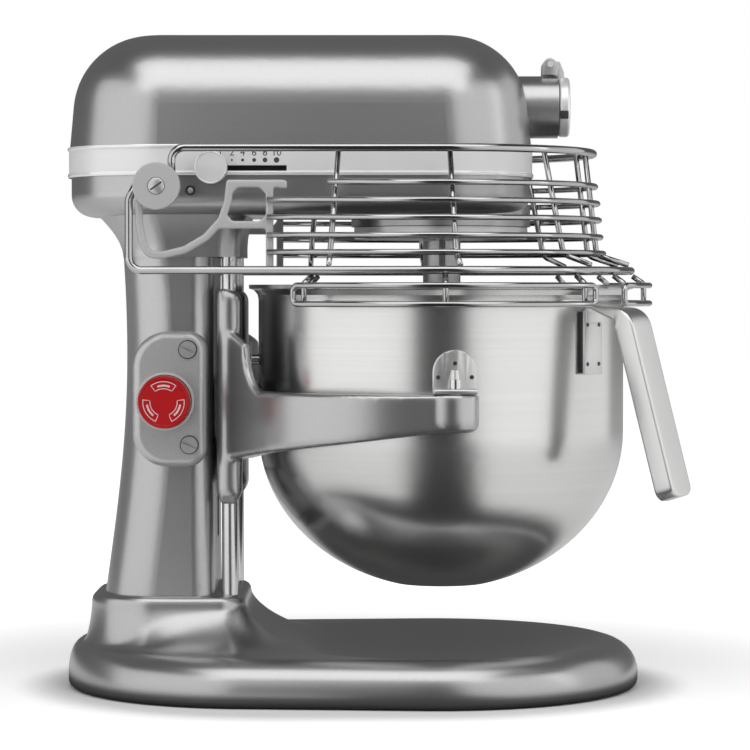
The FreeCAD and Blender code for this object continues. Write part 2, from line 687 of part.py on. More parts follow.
def bevel_gear():
    """Crown bevel gear on the centre shaft, with teeth that taper to the shafts' crossing point."""
    module = 2 * BEVEL_OUTER_R / BEVEL_TEETH
    flank = math.tan(math.radians(20))
    addendum = 0.6 * module
    dedendum = 0.85 * module
    pitch_half = 0.36 * math.pi * module / 2
    drop = BEVEL_OUTER_R / BEVEL_RATIO
    scale = BEVEL_INNER_R / BEVEL_OUTER_R
    outer_root = HUB_Z - drop - dedendum
    inner_root = HUB_Z - (drop + dedendum) * scale
    low = outer_root - 7
    blank = turned([(CENTRE_SHAFT_R, low), (BEVEL_OUTER_R, low), (BEVEL_OUTER_R, outer_root),
                    (BEVEL_INNER_R, inner_root), (CENTRE_SHAFT_R, inner_root)])
    tip_half = pitch_half - flank * addendum
    root_half = pitch_half + flank * dedendum
    tip = drop - addendum
    root = drop + dedendum + 0.3
    section = [(-root_half, root), (-tip_half, tip), (tip_half, tip), (root_half, root)]
    wires = []
    for size in (1.0, scale):
        reach = AXIS_X + BEVEL_OUTER_R * size
        wires.append(polygon([Vector(reach, y * size, HUB_Z - z * size) for y, z in section]))
    tooth = Part.makeLoft(wires, True, True)
    teeth = [around_bowl(tooth, 360.0 * i / BEVEL_TEETH) for i in range(BEVEL_TEETH)]
    return blank.fuse(teeth).removeSplitter()


def spur_gear(teeth, x0, x1, z, phase):
    """Spur gear on an axis along X. Phase turns it by a part of a tooth, from a tooth pointing up."""
    outline = gear_outline(teeth, SPUR_MODULE * teeth / 2, phase=phase)
    wire = polygon([Vector(x0, y, z + up) for up, y in outline])
    return extruded(wire, Vector(x1 - x0, 0, 0))


def layshaft():
    """Shaft between the reduction gear and the bevel gear."""
    return rod_x(LAYSHAFT_R, MIDDLE_PLATE_X[0], AXIS_X - BEVEL_INNER_R + 1, 0, HUB_Z)


def reduction_gear():
    """Large spur gear on the layshaft."""
    return spur_gear(REDUCTION_TEETH, *REDUCTION_X, HUB_Z, 0.0).cut(rod_x(LAYSHAFT_R, 0, 20, 0, HUB_Z))


def motor_pinion():
    """Small spur gear on the motor shaft."""
    pinion = spur_gear(MOTOR_PINION_TEETH, *PINION_X, MOTOR_Z, 0.5)
    return pinion.cut(rod_x(MOTOR_SHAFT_R - 1, 0, 20, 0, MOTOR_Z))


def motor_shaft():
    """Armature shaft, stepped down for the pinion."""
    thick = rod_x(MOTOR_SHAFT_R, REAR_PLATE_X[0] - 4, 0, 0, MOTOR_Z)
    return thick.fuse(rod_x(MOTOR_SHAFT_R - 1, 0, PINION_X[1], 0, MOTOR_Z)).removeSplitter()


def motor_rotor():
    """Armature with slots and a commutator."""
    body = rod_x(ROTOR_R, STATOR_REAR_X + 2, STATOR_FRONT_X - 2, 0, MOTOR_Z)
    for i in range(ROTOR_SLOTS):
        slot = box(STATOR_REAR_X, STATOR_FRONT_X, -1.2, 1.2, ROTOR_R - 4, ROTOR_R + 2)
        slot.rotate(Vector(0, 0, 0), X_AXIS, 360.0 * i / ROTOR_SLOTS)
        body = body.cut(slot.translated(Vector(0, 0, MOTOR_Z)))
    commutator = rod_x(COMMUTATOR_R, STATOR_FRONT_X - 2, STATOR_FRONT_X + COMMUTATOR_LENGTH, 0, MOTOR_Z)
    return body.fuse(commutator).cut(rod_x(MOTOR_SHAFT_R, -200, 50, 0, MOTOR_Z)).removeSplitter()


def motor_stator():
    """Round field stack, open for the rotor."""
    stack = rod_x(STATOR_R, STATOR_REAR_X, STATOR_FRONT_X, 0, MOTOR_Z)
    return stack.cut(rod_x(STATOR_BORE_R, STATOR_REAR_X - 1, STATOR_FRONT_X + 1, 0, MOTOR_Z))


def motor_fan():
    """Cooling fan at the motor's tail."""
    disc = rod_x(FAN_R, FAN_REAR_X, FAN_REAR_X + 3, 0, MOTOR_Z)
    blades = []
    for i in range(FAN_BLADES):
        blade = box(FAN_REAR_X + 2, FAN_REAR_X + 8, -0.8, 0.8, 10, FAN_R - 1)
        blade.rotate(Vector(0, 0, 0), X_AXIS, 360.0 * i / FAN_BLADES)
        blades.append(blade.translated(Vector(0, 0, MOTOR_Z)))
    return disc.fuse(blades).cut(rod_x(MOTOR_SHAFT_R, -200, 0, 0, MOTOR_Z)).removeSplitter()


def motor_bearings():
    """Rear and front bearings of the motor, each in its own ring."""
    rings = []
    for (x0, x1), radius in ((REAR_PLATE_X, REAR_BEARING_R), (MIDDLE_PLATE_X, FRONT_BEARING_R)):
        ring = rod_x(radius, x0, x1, 0, MOTOR_Z)
        rings.append(ring.cut(rod_x(MOTOR_SHAFT_R + RUNNING_CLEARANCE, x0 - 1, x1 + 1, 0, MOTOR_Z)))
    return Part.makeCompound(rings)


def gearbox_frame():
    """Plates that carry the motor and the layshaft, on one floor."""
    floor = (TRAY_FLOOR_Z, TRAY_FLOOR_Z + 4)
    rear = box(*REAR_PLATE_X, -30, 30, TRAY_FLOOR_Z, MOTOR_Z + 22)
    rear_floor = box(*REAR_PLATE_X, -40, 40, *floor)
    rear_hole = rod_x(REAR_BEARING_R, REAR_PLATE_X[0] - 1, REAR_PLATE_X[1] + 1, 0, MOTOR_Z)
    middle = box(*MIDDLE_PLATE_X, -34, 34, TRAY_FLOOR_Z, HUB_Z + 16)
    front = box(*FRONT_PLATE_X, -24, 24, TRAY_FLOOR_Z, HUB_Z + 14)
    front_floor = box(MIDDLE_PLATE_X[0], FRONT_PLATE_X[1], -34, 34, *floor)
    front_hole = rod_x(FRONT_BEARING_R, MIDDLE_PLATE_X[0] - 1, MIDDLE_PLATE_X[1] + 1, 0, MOTOR_Z)
    layshaft_hole = rod_x(LAYSHAFT_R + RUNNING_CLEARANCE, -20, 30, 0, HUB_Z)
    tower = rod_z(TOWER_R, GEAR_RECESS_TOP_Z, TOWER_TOP_Z + 1, AXIS_X, 0)
    rear_part = rear.fuse(rear_floor).cut(rear_hole)
    gear_part = middle.fuse([front, front_floor]).cut(front_hole).cut(layshaft_hole).cut(tower)
    return Part.makeCompound([rear_part.removeSplitter(), gear_part.removeSplitter()])


def control_board():
    """Speed control board, upright beside the motor."""
    return box(*BOARD_X, *BOARD_Y, TRAY_FLOOR_Z + 1, BOARD_TOP_Z)


def speed_slider():
    """Lever through the trim slot, with a wiper plate inside."""
    z0 = SPEED_KNOB_Z - SPEED_SLOT_HEIGHT / 2 + 0.3
    stem = box(SPEED_KNOB_X - 2.7, SPEED_KNOB_X + 2.7, SPEED_KNOB_BACK_Y, WIPER_Y[1],
               z0, z0 + SPEED_SLOT_HEIGHT - 0.6)
    wiper = box(SPEED_KNOB_X - 9, SPEED_KNOB_X + 9, *WIPER_Y, SPEED_KNOB_Z - 7, SPEED_KNOB_Z + 9)
    return stem.fuse(wiper).removeSplitter()


def speed_knob():
    """Round push-along knob of the speed control."""
    knob = rod_y(SPEED_KNOB_R, SPEED_KNOB_FACE_Y, SPEED_KNOB_BACK_Y, SPEED_KNOB_X, SPEED_KNOB_Z)
    return knob.makeFillet(1.2, [e for e in knob.Edges if e.BoundBox.YMax < SPEED_KNOB_FACE_Y + 1])


def stop_housing():
    """Box on the column's side that holds the stop button."""
    z0, z1 = STOP_BOX_Z
    outline = rounded_plan(*STOP_BOX_X, (z1 - z0) / 2, STOP_BOX_REAR_R, STOP_BOX_FRONT_R, 0)
    outline.Placement = Placement(Vector(0, STOP_BOX_BACK_Y, (z0 + z1) / 2), Rotation(X_AXIS, 90))
    body = extruded(outline, Vector(0, STOP_FACE_Y - STOP_BOX_BACK_Y, 0))
    face_edges = [e for e in body.Edges if e.BoundBox.YMax < STOP_FACE_Y + 0.01]
    body = body.makeFillet(STOP_BOX_EDGE_R, face_edges)
    body = body.cut(column_form())
    body = body.cut(rod_y(STOP_STEM_R + RUNNING_CLEARANCE, -90, -20, STOP_X, STOP_Z))
    room = rod_y(STOP_STEM_R + 3, STOP_FLANGE_Y[0] - 0.5, STOP_BOX_BACK_Y, STOP_X, STOP_Z)
    for x, z in STOP_SCREWS:
        body = body.cut(rod_y(SCREW_SHANK_R, -90, -20, x, z))
    return body.cut(room).removeSplitter()


def stop_collar():
    """Pale ring round the stop button."""
    ring = rod_y(STOP_COLLAR_R, STOP_FACE_Y - 4, STOP_FACE_Y, STOP_X, STOP_Z)
    return ring.cut(rod_y(STOP_CAP_R + 0.4, STOP_FACE_Y - 10, STOP_FACE_Y + 1, STOP_X, STOP_Z))


def stop_stem():
    """Plunger of the stop button, with a retaining flange inside."""
    stem = rod_y(STOP_STEM_R, STOP_FACE_Y - 7, STOP_BOX_BACK_Y, STOP_X, STOP_Z)
    return stem.fuse(rod_y(STOP_STEM_R + 2, *STOP_FLANGE_Y, STOP_X, STOP_Z)).removeSplitter()


def stop_cap():
    """Red turn cap of the stop button."""
    cap = rod_y(STOP_CAP_R, STOP_FACE_Y - 15, STOP_FACE_Y - 6, STOP_X, STOP_Z)
    cap = cap.makeFillet(3.0, [e for e in cap.Edges if e.BoundBox.YMax < STOP_FACE_Y - 14])
    return cap.cut(rod_y(STOP_STEM_R + RUNNING_CLEARANCE, STOP_FACE_Y - 7.1, -20, STOP_X, STOP_Z))


def stop_housing_screws():
    """Two slotted screws of the button box."""
    screws = []
    for x, z in STOP_SCREWS:
        head = rod_y(SCREW_HEAD_R, STOP_FACE_Y - 2.2, STOP_FACE_Y, x, z)
        slot = box(x - 6, x + 6, STOP_FACE_Y - 3, STOP_FACE_Y - 1.2, z - 0.7, z + 0.7)
        slot.rotate(Vector(x, 0, z), Y_AXIS, 25)
        shank = rod_y(SCREW_SHANK_R, STOP_FACE_Y, STOP_FACE_Y + 9, x, z)
        screws.append(head.cut(slot).fuse(shank).removeSplitter())
    return Part.makeCompound(screws)


def ring_gear():
    """Fixed ring gear with inner teeth, in the round front housing."""
    pitch_r = PLANET_MODULE * RING_TEETH / 2
    outline = gear_outline(RING_TEETH, pitch_r, outward=-1, phase=0.25 * RING_TEETH + 0.5)
    inner = polygon([Vector(AXIS_X + x, y, FRONT_HOUSING_Z) for x, y in outline])
    room = extruded(inner, Vector(0, 0, 20))
    return rod_z(GEAR_RECESS_R, RING_GEAR_BOTTOM_Z, GEAR_RECESS_TOP_Z, AXIS_X, 0).cut(room)


def planet_pinion():
    """Pinion on the beater shaft, in mesh with the ring gear."""
    outline = gear_outline(PLANET_TEETH, PLANET_MODULE * PLANET_TEETH / 2, phase=-0.25 * PLANET_TEETH)
    wire = polygon([Vector(AXIS_X + x, y - BEATER_OFFSET, PLANET_BOTTOM_Z) for x, y in outline])
    gear = extruded(wire, Vector(0, 0, PLANET_HEIGHT))
    return gear.cut(rod_z(BEATER_SHAFT_R, 290, 310, AXIS_X, -BEATER_OFFSET))


def planetary_carrier():
    """Turning disc below the head, bored for the beater shaft."""
    disc = rod_z(CARRIER_R, CARRIER_BOTTOM_Z, CARRIER_TOP_Z, AXIS_X, 0)
    collar = rod_z(CARRIER_COLLAR_R, CARRIER_TOP_Z - 1, GEAR_RECESS_TOP_Z - 0.5, AXIS_X, 0)
    planet_room = rod_z(16, CARRIER_TOP_Z + 0.6, 310, AXIS_X, -BEATER_OFFSET)
    sleeve = rod_z(BEATER_SLEEVE_R, CARRIER_BOTTOM_Z - 2, CARRIER_TOP_Z + 1.8, AXIS_X, -BEATER_OFFSET)
    body = disc.fuse([collar.cut(planet_room), sleeve])
    body = body.cut(rod_z(CENTRE_SHAFT_R, CARRIER_BOTTOM_Z + 2, 310, AXIS_X, 0))
    shaft_hole = rod_z(BEATER_SHAFT_R + RUNNING_CLEARANCE, 280, 310, AXIS_X, -BEATER_OFFSET)
    return body.cut(shaft_hole).removeSplitter()


def planetary_trim_ring():
    """Bright drip ring round the planetary disc."""
    outer = CARRIER_R + 2.6
    return turned([(CARRIER_R, DRIP_RING_BOTTOM_Z), (outer - 0.6, DRIP_RING_BOTTOM_Z),
                   (outer, DRIP_RING_BOTTOM_Z + 1.2), (outer, CARRIER_TOP_Z), (CARRIER_R, CARRIER_TOP_Z)])


def centre_shaft():
    """Upright shaft from the bevel gear down to the planetary disc."""
    return rod_z(CENTRE_SHAFT_R, CARRIER_BOTTOM_Z + 2, HUB_Z - 6, AXIS_X, 0)


def centre_bearings():
    """Two bushes of the centre shaft, in the tower."""
    bushes = []
    for z0 in CENTRE_BUSHES_Z:
        z1 = z0 + CENTRE_BUSH_HEIGHT
        ring = rod_z(TOWER_BORE_R, z0, z1, AXIS_X, 0)
        bushes.append(ring.cut(rod_z(CENTRE_SHAFT_R + RUNNING_CLEARANCE, z0 - 1, z1 + 1, AXIS_X, 0)))
    return Part.makeCompound(bushes)


def beater_shaft():
    """Shaft that carries the beater, cross-drilled for its drive pin."""
    shaft = rod_z(BEATER_SHAFT_R, BEATER_SHAFT_BOTTOM_Z, BEATER_SHAFT_TOP_Z, AXIS_X, -BEATER_OFFSET)
    return shaft.cut(rod_y(DRIVE_PIN_R, -60, 0, AXIS_X, DRIVE_PIN_Z))


def beater_drive_pin():
    """Cross pin that locks the beater on its shaft."""
    return rod_y(DRIVE_PIN_R, -BEATER_OFFSET - DRIVE_PIN_HALF, -BEATER_OFFSET + DRIVE_PIN_HALF,
                 AXIS_X, DRIVE_PIN_Z)


def beater_outline(inset):
    """One closed outline of the flat beater, drawn in by inset."""
    shrink = 1 - inset / 80.0
    points = []
    for side in (1, -1):
        run = BEATER_HALF if side > 0 else reversed(BEATER_HALF)
        for x, z in run:
            points.append(Vector(AXIS_X + side * x * shrink, -BEATER_OFFSET - BEATER_LOOP_DEPTH / 2,
                                 BEATER_MIDDLE_Z + (z - BEATER_MIDDLE_Z) * shrink))
    return polygon(points)


def flat_beater():
    """Flat beater: a socket for the shaft, an outer loop, a spar and cross ribs."""
    through = Vector(0, BEATER_LOOP_DEPTH, 0)
    loop = extruded(beater_outline(0), through).cut(extruded(beater_outline(BEATER_LOOP), through))
    sides = (-BEATER_OFFSET - BEATER_RIB / 2, -BEATER_OFFSET + BEATER_RIB / 2)
    spar = box(AXIS_X - 5, AXIS_X + 5, *sides, 80, 246)
    ribs = [box(AXIS_X - BEATER_RIB_HALF, AXIS_X + BEATER_RIB_HALF, *sides, z, z + BEATER_RIB)
            for z in BEATER_RIBS_Z]
    socket = rod_z(BEATER_SOCKET_R, 240, BEATER_SOCKET_TOP_Z, AXIS_X, -BEATER_OFFSET)
    body = loop.fuse([spar, socket] + ribs)
    body = body.cut(rod_z(BEATER_SHAFT_R, BEATER_SHAFT_BOTTOM_Z - 0.5, 290, AXIS_X, -BEATER_OFFSET))
    pin_slot = box(AXIS_X - DRIVE_PIN_R, AXIS_X + DRIVE_PIN_R, -60, 0, DRIVE_PIN_Z - DRIVE_PIN_R, 289)
    return body.cut(pin_slot).removeSplitter()


def bowl_solid(wall):
    """The bowl's outer form, or the room inside it for a given wall."""
    side = BOWL_R - wall
    depth = (BOWL_SHOULDER_Z - BOWL_BOTTOM_Z) / math.sqrt(1 - (BOWL_FOOT_R / BOWL_R) ** 2) - wall
    ellipse = Part.Ellipse(Vector(AXIS_X, 0, BOWL_SHOULDER_Z), side, depth)
    ellipse.Axis = Vector(0, -1, 0)
    foot_turn = math.acos(BOWL_FOOT_R / side)
    curve = Part.ArcOfEllipse(ellipse, 2 * math.pi - foot_turn, 2 * math.pi).toShape()
    if curve.valueAt(curve.FirstParameter).z > BOWL_SHOULDER_Z + 1:
        curve = Part.ArcOfEllipse(ellipse, 0, foot_turn).toShape()
    ends = [curve.valueAt(curve.FirstParameter), curve.valueAt(curve.LastParameter)]
    ends.sort(key=lambda point: point.z)
    top = Vector(ends[1].x, 0, BOWL_RIM_Z + (5 if wall else -7.5))
    centre_top = Vector(AXIS_X, 0, top.z)
    centre_low = Vector(AXIS_X, 0, ends[0].z)
    edges = [curve]
    for start, end in ((ends[1], top), (top, centre_top), (centre_top, centre_low), (centre_low, ends[0])):
        edges.append(Part.LineSegment(start, end).toShape())
    face = Part.Face(Part.Wire(Part.__sortEdges__(edges)))
    return face.revolve(BOWL_AXIS, Z_AXIS, 360)


def bowl():
    """Deep drawn bowl with a rolled rim."""
    rim = turned(RIM_PROFILE)
    return bowl_solid(0).cut(bowl_solid(BOWL_WALL)).fuse(rim).removeSplitter()


def bowl_ears():
    """Riveted plates on the bowl's sides, with shelves that sit over the yoke's pins."""
    wall = rod_z(BOWL_R + WELD_GAP, 100, 300, AXIS_X, 0)
    sides = (EAR_X - EAR_HALF_WIDTH, EAR_X + EAR_HALF_WIDTH)
    plate = box(*sides, -BOWL_R - EAR_PLATE, -100, EAR_SHELF_Z, EAR_CROWN_Z)
    crown = rod_y(EAR_HALF_WIDTH, -BOWL_R - EAR_PLATE, -100, EAR_X, EAR_CROWN_Z)
    shelf = box(EAR_X - 13, EAR_X + 13, -EAR_PIN_Y - 8, -110, EAR_SHELF_Z, EAR_SHELF_Z + EAR_SHELF)
    ear = plate.fuse([crown, shelf]).cut(wall)
    ear = ear.cut(rod_z(EAR_HOLE_R, 180, 220, EAR_X, -EAR_PIN_Y)).removeSplitter()
    return Part.makeCompound([ear, mirrored(ear)])


def handle_form(outline, width):
    """A side shape of the handle, from (distance from the bowl's axis, height) points."""
    points = [Vector(AXIS_X + r, -width / 2, z) for r, z in outline]
    return extruded(polygon(points), Vector(0, width, 0))


def bowl_handle():
    """Pressed channel handle on a plate spot-welded to the bowl."""
    plate = box(AXIS_X + 110, AXIS_X + BOWL_R + HANDLE_PLATE, -HANDLE_PLATE_HALF, HANDLE_PLATE_HALF,
                *HANDLE_PLATE_Z)
    room = handle_form(HANDLE_ROOM, HANDLE_WIDTH - 2 * HANDLE_SHEET)
    strap = handle_form(HANDLE_OUTER + HANDLE_INNER, HANDLE_WIDTH).cut(room)
    wall = rod_z(BOWL_R + WELD_GAP, 100, 300, AXIS_X, 0)
    body = strap.fuse(plate).cut(wall).removeSplitter()
    return around_bowl(body, HANDLE_ANGLE)


def bowl_latch():
    """Pin on the back of the bowl with the spring strip that holds it."""
    pin = rod_x(LATCH_PIN_R, AXIS_X - BOWL_R - 4.5, AXIS_X - BOWL_R + 2, 0, LATCH_Z)
    pin = pin.cut(rod_z(BOWL_R + WELD_GAP, 100, 300, AXIS_X, 0))
    strip = box(*LATCH_STRIP_X, -LATCH_HALF, LATCH_HALF, *LATCH_STRIP_Z)
    return Part.makeCompound([pin, strip])


def yoke_arm():
    """One arm of the yoke, round the bowl on the near side, with a boss at its end."""
    ring = rod_z(ARM_OUTER_R, ARM_ROOT_Z, ARM_TOP_Z, AXIS_X, 0).cut(
        rod_z(ARM_INNER_R, ARM_ROOT_Z - 1, ARM_TOP_Z + 1, AXIS_X, 0))
    quarter = box(SLIDER_REAR_X + 2, AXIS_X, -150, -SLIDER_Y[0], 0, 300)
    arm = ring.common(quarter)
    boss = box(AXIS_X - 16, EAR_X + 12, -ARM_OUTER_R - 2, -ARM_INNER_R - 1, ARM_END_Z, ARM_TOP_Z)
    under = polygon([Vector(-30, -200, ARM_ROOT_Z - 1), Vector(80, -200, ARM_ROOT_Z - 1),
                     Vector(80, -200, ARM_END_Z), Vector(40, -200, ARM_END_Z)])
    return arm.fuse(boss).cut(extruded(under, Vector(0, 200, 0)))


def yoke():
    """Lifting yoke: two sleeves on the rails, a cross plate, two arms and a tongue for the crank."""
    sleeve = box(SLIDER_REAR_X, SLIDER_FRONT_X, -SLIDER_Y[1], -SLIDER_Y[0], SLIDER_BOTTOM_Z, SLIDER_TOP_Z)
    height = SLIDER_TOP_Z - SLIDER_BOTTOM_Z
    upright_edges = [e for e in sleeve.Edges if abs(e.BoundBox.ZLength - height) < 0.1]
    sleeve = sleeve.makeFillet(SLIDER_EDGE_R, upright_edges)
    plate = box(*YOKE_PLATE_X, -40, 40, *YOKE_PLATE_Z)
    pad = box(YOKE_PLATE_X[1] - 1, LATCH_STRIP_X[0], -YOKE_PAD_HALF, YOKE_PAD_HALF, *YOKE_PAD_Z)
    pin_z = LIFT_SHAFT_Z + CRANK_R / math.sqrt(2)
    tongue = box(-112, -80, -4, 4, pin_z - TONGUE_HALF, pin_z + TONGUE_HALF)
    window = box(-110, -90.5, -6, 6, pin_z - CRANK_PIN_R - 1.2, pin_z + CRANK_PIN_R + 1.2)
    arm = yoke_arm()
    body = sleeve.fuse([mirrored(sleeve), plate, pad, tongue.cut(window), arm, mirrored(arm)])
    for side in (-1, 1):
        body = body.cut(rod_z(RAIL_R + RUNNING_CLEARANCE, 0, 400, RAIL_X, side * RAIL_Y))
        body = body.cut(rod_z(YOKE_PIN_R, ARM_TOP_Z - YOKE_PIN_DEPTH, ARM_TOP_Z + 1, EAR_X, side * EAR_PIN_Y))
    return body.removeSplitter()


def yoke_pins():
    """Locating pins on the arms' ends."""
    reach = (ARM_TOP_Z - YOKE_PIN_DEPTH, ARM_TOP_Z + YOKE_PIN_HEIGHT)
    pins = [rod_z(YOKE_PIN_R, *reach, EAR_X, side * EAR_PIN_Y) for side in (-1, 1)]
    return Part.makeCompound(pins)


def lift_rails():
    """Two round rails between the pedestal and the neck."""
    rails = [rod_z(RAIL_R, PEDESTAL_TOP_Z, COLUMN_TOP_Z, RAIL_X, side * RAIL_Y) for side in (-1, 1)]
    return Part.makeCompound(rails)


def lift_shaft():
    """Cross shaft with a crank and the pin that works the tongue."""
    shaft = rod_y(LIFT_SHAFT_R, CRANK_WEB_Y[0], LEVER_Y + LEVER_PLATE, LIFT_SHAFT_X, LIFT_SHAFT_Z)
    reach = CRANK_R / math.sqrt(2)
    web = box(-9, CRANK_R + CRANK_WEB_HALF, *CRANK_WEB_Y, -CRANK_WEB_HALF, CRANK_WEB_HALF)
    web.rotate(Vector(0, 0, 0), Y_AXIS, -45)
    web.translate(Vector(LIFT_SHAFT_X, 0, LIFT_SHAFT_Z))
    pin = rod_y(CRANK_PIN_R, -4, 6, LIFT_SHAFT_X + reach, LIFT_SHAFT_Z + reach)
    return shaft.fuse([web, pin]).removeSplitter()


def lift_lever():
    """Hand lever on the far side, upright with the bowl up: hub, flat arm and round grip."""
    hub = rod_y(LEVER_HUB_R, LEVER_Y - 3, LEVER_Y + LEVER_PLATE + 1, 0, 0)
    arm = box(-LEVER_HALF_WIDTH, LEVER_HALF_WIDTH, LEVER_Y, LEVER_Y + LEVER_PLATE, 0, LEVER_LENGTH - 14)
    grip = rod_z(LEVER_GRIP_R, LEVER_LENGTH - LEVER_GRIP, LEVER_LENGTH, 0, LEVER_Y + 6)
    grip = grip.makeFillet(LEVER_GRIP_EDGE_R, [grip.Edges[0], grip.Edges[2]])
    body = hub.fuse([arm, grip])
    body.translate(Vector(LIFT_SHAFT_X, 0, LIFT_SHAFT_Z))
    bore = rod_y(LIFT_SHAFT_R, LEVER_Y - 20, LEVER_Y + LEVER_PLATE, LIFT_SHAFT_X, LIFT_SHAFT_Z)
    return body.cut(bore).removeSplitter()


def touch_point(radius, end):
    """Where a level line from an outside point touches the circle about the bowl's axis, near side."""
    away = Vector(end.x - AXIS_X, end.y, 0)
    swing = math.acos(radius / away.Length)
    angle = math.atan2(away.y, away.x) + swing
    return Vector(AXIS_X + radius * math.cos(angle), radius * math.sin(angle), end.z)


def u_path(radius, end):
    """Edges of a level U round the front, whose near side ends at a point and far side mirrors it."""
    near = touch_point(radius, end)
    far = Vector(near.x, -near.y, near.z)
    nose = Vector(AXIS_X + radius, 0, end.z)
    far_end = Vector(end.x, -end.y, end.z)
    return [
        Part.LineSegment(end, near).toShape(),
        Part.Arc(near, nose, far).toShape(),
        Part.LineSegment(far, far_end).toShape(),
    ]


def guard_rings():
    """Thin U-shaped rings of the guard, ending on its side brackets."""
    rings = []
    for i, (radius, z) in enumerate(MIDDLE_RINGS):
        if i == 0:
            end = Vector(SHORT_RING_END_X, -radius, z)
            rings.append(round_bar(short_u_path(radius, end), THIN_WIRE_R))
        else:
            rings.append(round_bar(u_path(radius, Vector(RING_END_X, -RING_END_Y, z)), THIN_WIRE_R))
    return Part.makeCompound(rings)


def short_u_path(radius, end):
    """Edges of a level U with straight parallel sides."""
    near = Vector(AXIS_X, -radius, end.z)
    far = Vector(AXIS_X, radius, end.z)
    nose = Vector(AXIS_X + radius, 0, end.z)
    far_end = Vector(end.x, radius, end.z)
    return [
        Part.LineSegment(end, near).toShape(),
        Part.Arc(near, nose, far).toShape(),
        Part.LineSegment(far, far_end).toShape(),
    ]


def side_wire(ring, turns):
    """A thick U-shaped wire whose sides run back in the brackets' plane and end in a few turns."""
    radius, z = ring
    near = touch_point(radius, Vector(turns[0][0], -FRAME_SIDE_Y, z))
    far = Vector(near.x, -near.y, z)
    sides = []
    for side, touch in ((-1, near), (1, far)):
        points = [touch] + [Vector(x, side * FRAME_SIDE_Y, height) for x, height in turns]
        sides.append(rounded_path(points, FRAME_BEND_R))
    nose = Part.Arc(near, Vector(AXIS_X + radius, 0, z), far).toShape()
    return round_bar(list(reversed(sides[0])) + [nose] + sides[1], FRAME_WIRE_R)


def guard_frame_wire():
    """Thick wires of the guard: the top ring and the rim ring, both bent in behind the pivot caps."""
    top = side_wire(TOP_RING, [(TOP_WIRE_REAR_X, TOP_RING[1]), (TOP_WIRE_REAR_X, 327.5)])
    rim = side_wire(RIM_RING, [(RIM_WIRE_REAR_X, RIM_RING[1]), (RIM_WIRE_REAR_X, 312.0), (-131.6, 323.6)])
    return Part.makeCompound([top, rim])


def side_reach(radius, end_x, end_y, x):
    """How far from the middle plane a U-shaped wire's side is at a given x."""
    touch = touch_point(radius, Vector(end_x, -end_y, 0))
    share = (x - end_x) / (touch.x - end_x)
    return end_y + (-touch.y - end_y) * min(share, 1.0)


def upright(top, low, foot):
    """One upright in the plane through the bowl's axis, from its distances at the top, low and foot."""
    points = [
        Vector(AXIS_X + top - FRAME_WIRE_R - THIN_WIRE_R - 0.8, 0, TOP_RING[1] + 1),
        Vector(AXIS_X + low - 2 * THIN_WIRE_R - 0.7, 0, MIDDLE_RINGS[-1][1] - 1),
        Vector(AXIS_X + foot - 1, 0, RIM_RING[1] + FRAME_WIRE_R + THIN_WIRE_R + 0.2),
    ]
    return round_bar(rounded_path(points, UPRIGHT_BEND_R), THIN_WIRE_R)


def guard_uprights():
    """Thin uprights inside the rings, round the front and along the straight sides."""
    front = upright(TOP_RING[0], MIDDLE_RINGS[-1][0], RIM_RING[0])
    bars = [around_bowl(front, angle) for angle in FRONT_UPRIGHTS]
    for x, side in SIDE_UPRIGHTS:
        top = side_reach(TOP_RING[0], TOP_WIRE_REAR_X, FRAME_SIDE_Y, x)
        low = side_reach(MIDDLE_RINGS[-1][0], RING_END_X, RING_END_Y, x)
        foot = side_reach(RIM_RING[0], RIM_WIRE_REAR_X, FRAME_SIDE_Y, x)
        bar = around_bowl(upright(top, low, foot), 90 * side)
        bars.append(bar.translated(Vector(x - AXIS_X, 0, 0)))
    return Part.makeCompound(bars)


def skirt_point(degrees, z, along=0.0):
    """A point of the skirt, moved along the tangent."""
    outward = Vector(math.cos(math.radians(degrees)), math.sin(math.radians(degrees)), 0)
    tangent = Vector(-outward.y, outward.x, 0)
    return BOWL_AXIS + outward * SKIRT_R + tangent * along + Vector(0, 0, z)


def skirt_end(degrees, side):
    """Points of a loop's rounded end, from top to bottom. Side is the way it points along the skirt."""
    bend = SKIRT_BEND_R
    lean = bend * (1 - math.sqrt(0.5))
    slide = side * bend * math.sqrt(0.5)
    return [
        skirt_point(degrees, SKIRT_TOP_Z),
        skirt_point(degrees, SKIRT_TOP_Z - lean, slide),
        skirt_point(degrees, SKIRT_TOP_Z - bend, side * bend),
        skirt_point(degrees, SKIRT_BOTTOM_Z + bend, side * bend),
        skirt_point(degrees, SKIRT_BOTTOM_Z + lean, slide),
        skirt_point(degrees, SKIRT_BOTTOM_Z),
    ]


def skirt_loop(first, last):
    """One closed loop of the skirt: two level arcs joined by rounded ends."""
    middle = (first + last) / 2
    down = skirt_end(last, 1)
    up = skirt_end(first, -1)[::-1]
    edges = [Part.Arc(up[-1], skirt_point(middle, SKIRT_TOP_Z), down[0]).toShape()]
    for end in (down, up):
        edges.append(Part.Arc(*end[:3]).toShape())
        edges.append(Part.LineSegment(end[2], end[3]).toShape())
        edges.append(Part.Arc(*end[3:]).toShape())
        if end is down:
            edges.append(Part.Arc(down[-1], skirt_point(middle, SKIRT_BOTTOM_Z), up[0]).toShape())
    return round_bar(edges, THIN_WIRE_R)


def skirt_hanger(degrees):
    """Short wire that hangs the skirt from the rim ring."""
    points = [
        Vector(AXIS_X + RIM_RING[0] + 1.7, 0, RIM_RING[1] - 3.5),
        Vector(AXIS_X + SKIRT_R - 3.3, 0, SKIRT_TOP_Z + 1),
        Vector(AXIS_X + SKIRT_R - 3.2, 0, SKIRT_BOTTOM_Z - 1.5),
    ]
    return around_bowl(round_bar(rounded_path(points, HANGER_BEND_R), THIN_WIRE_R), degrees)


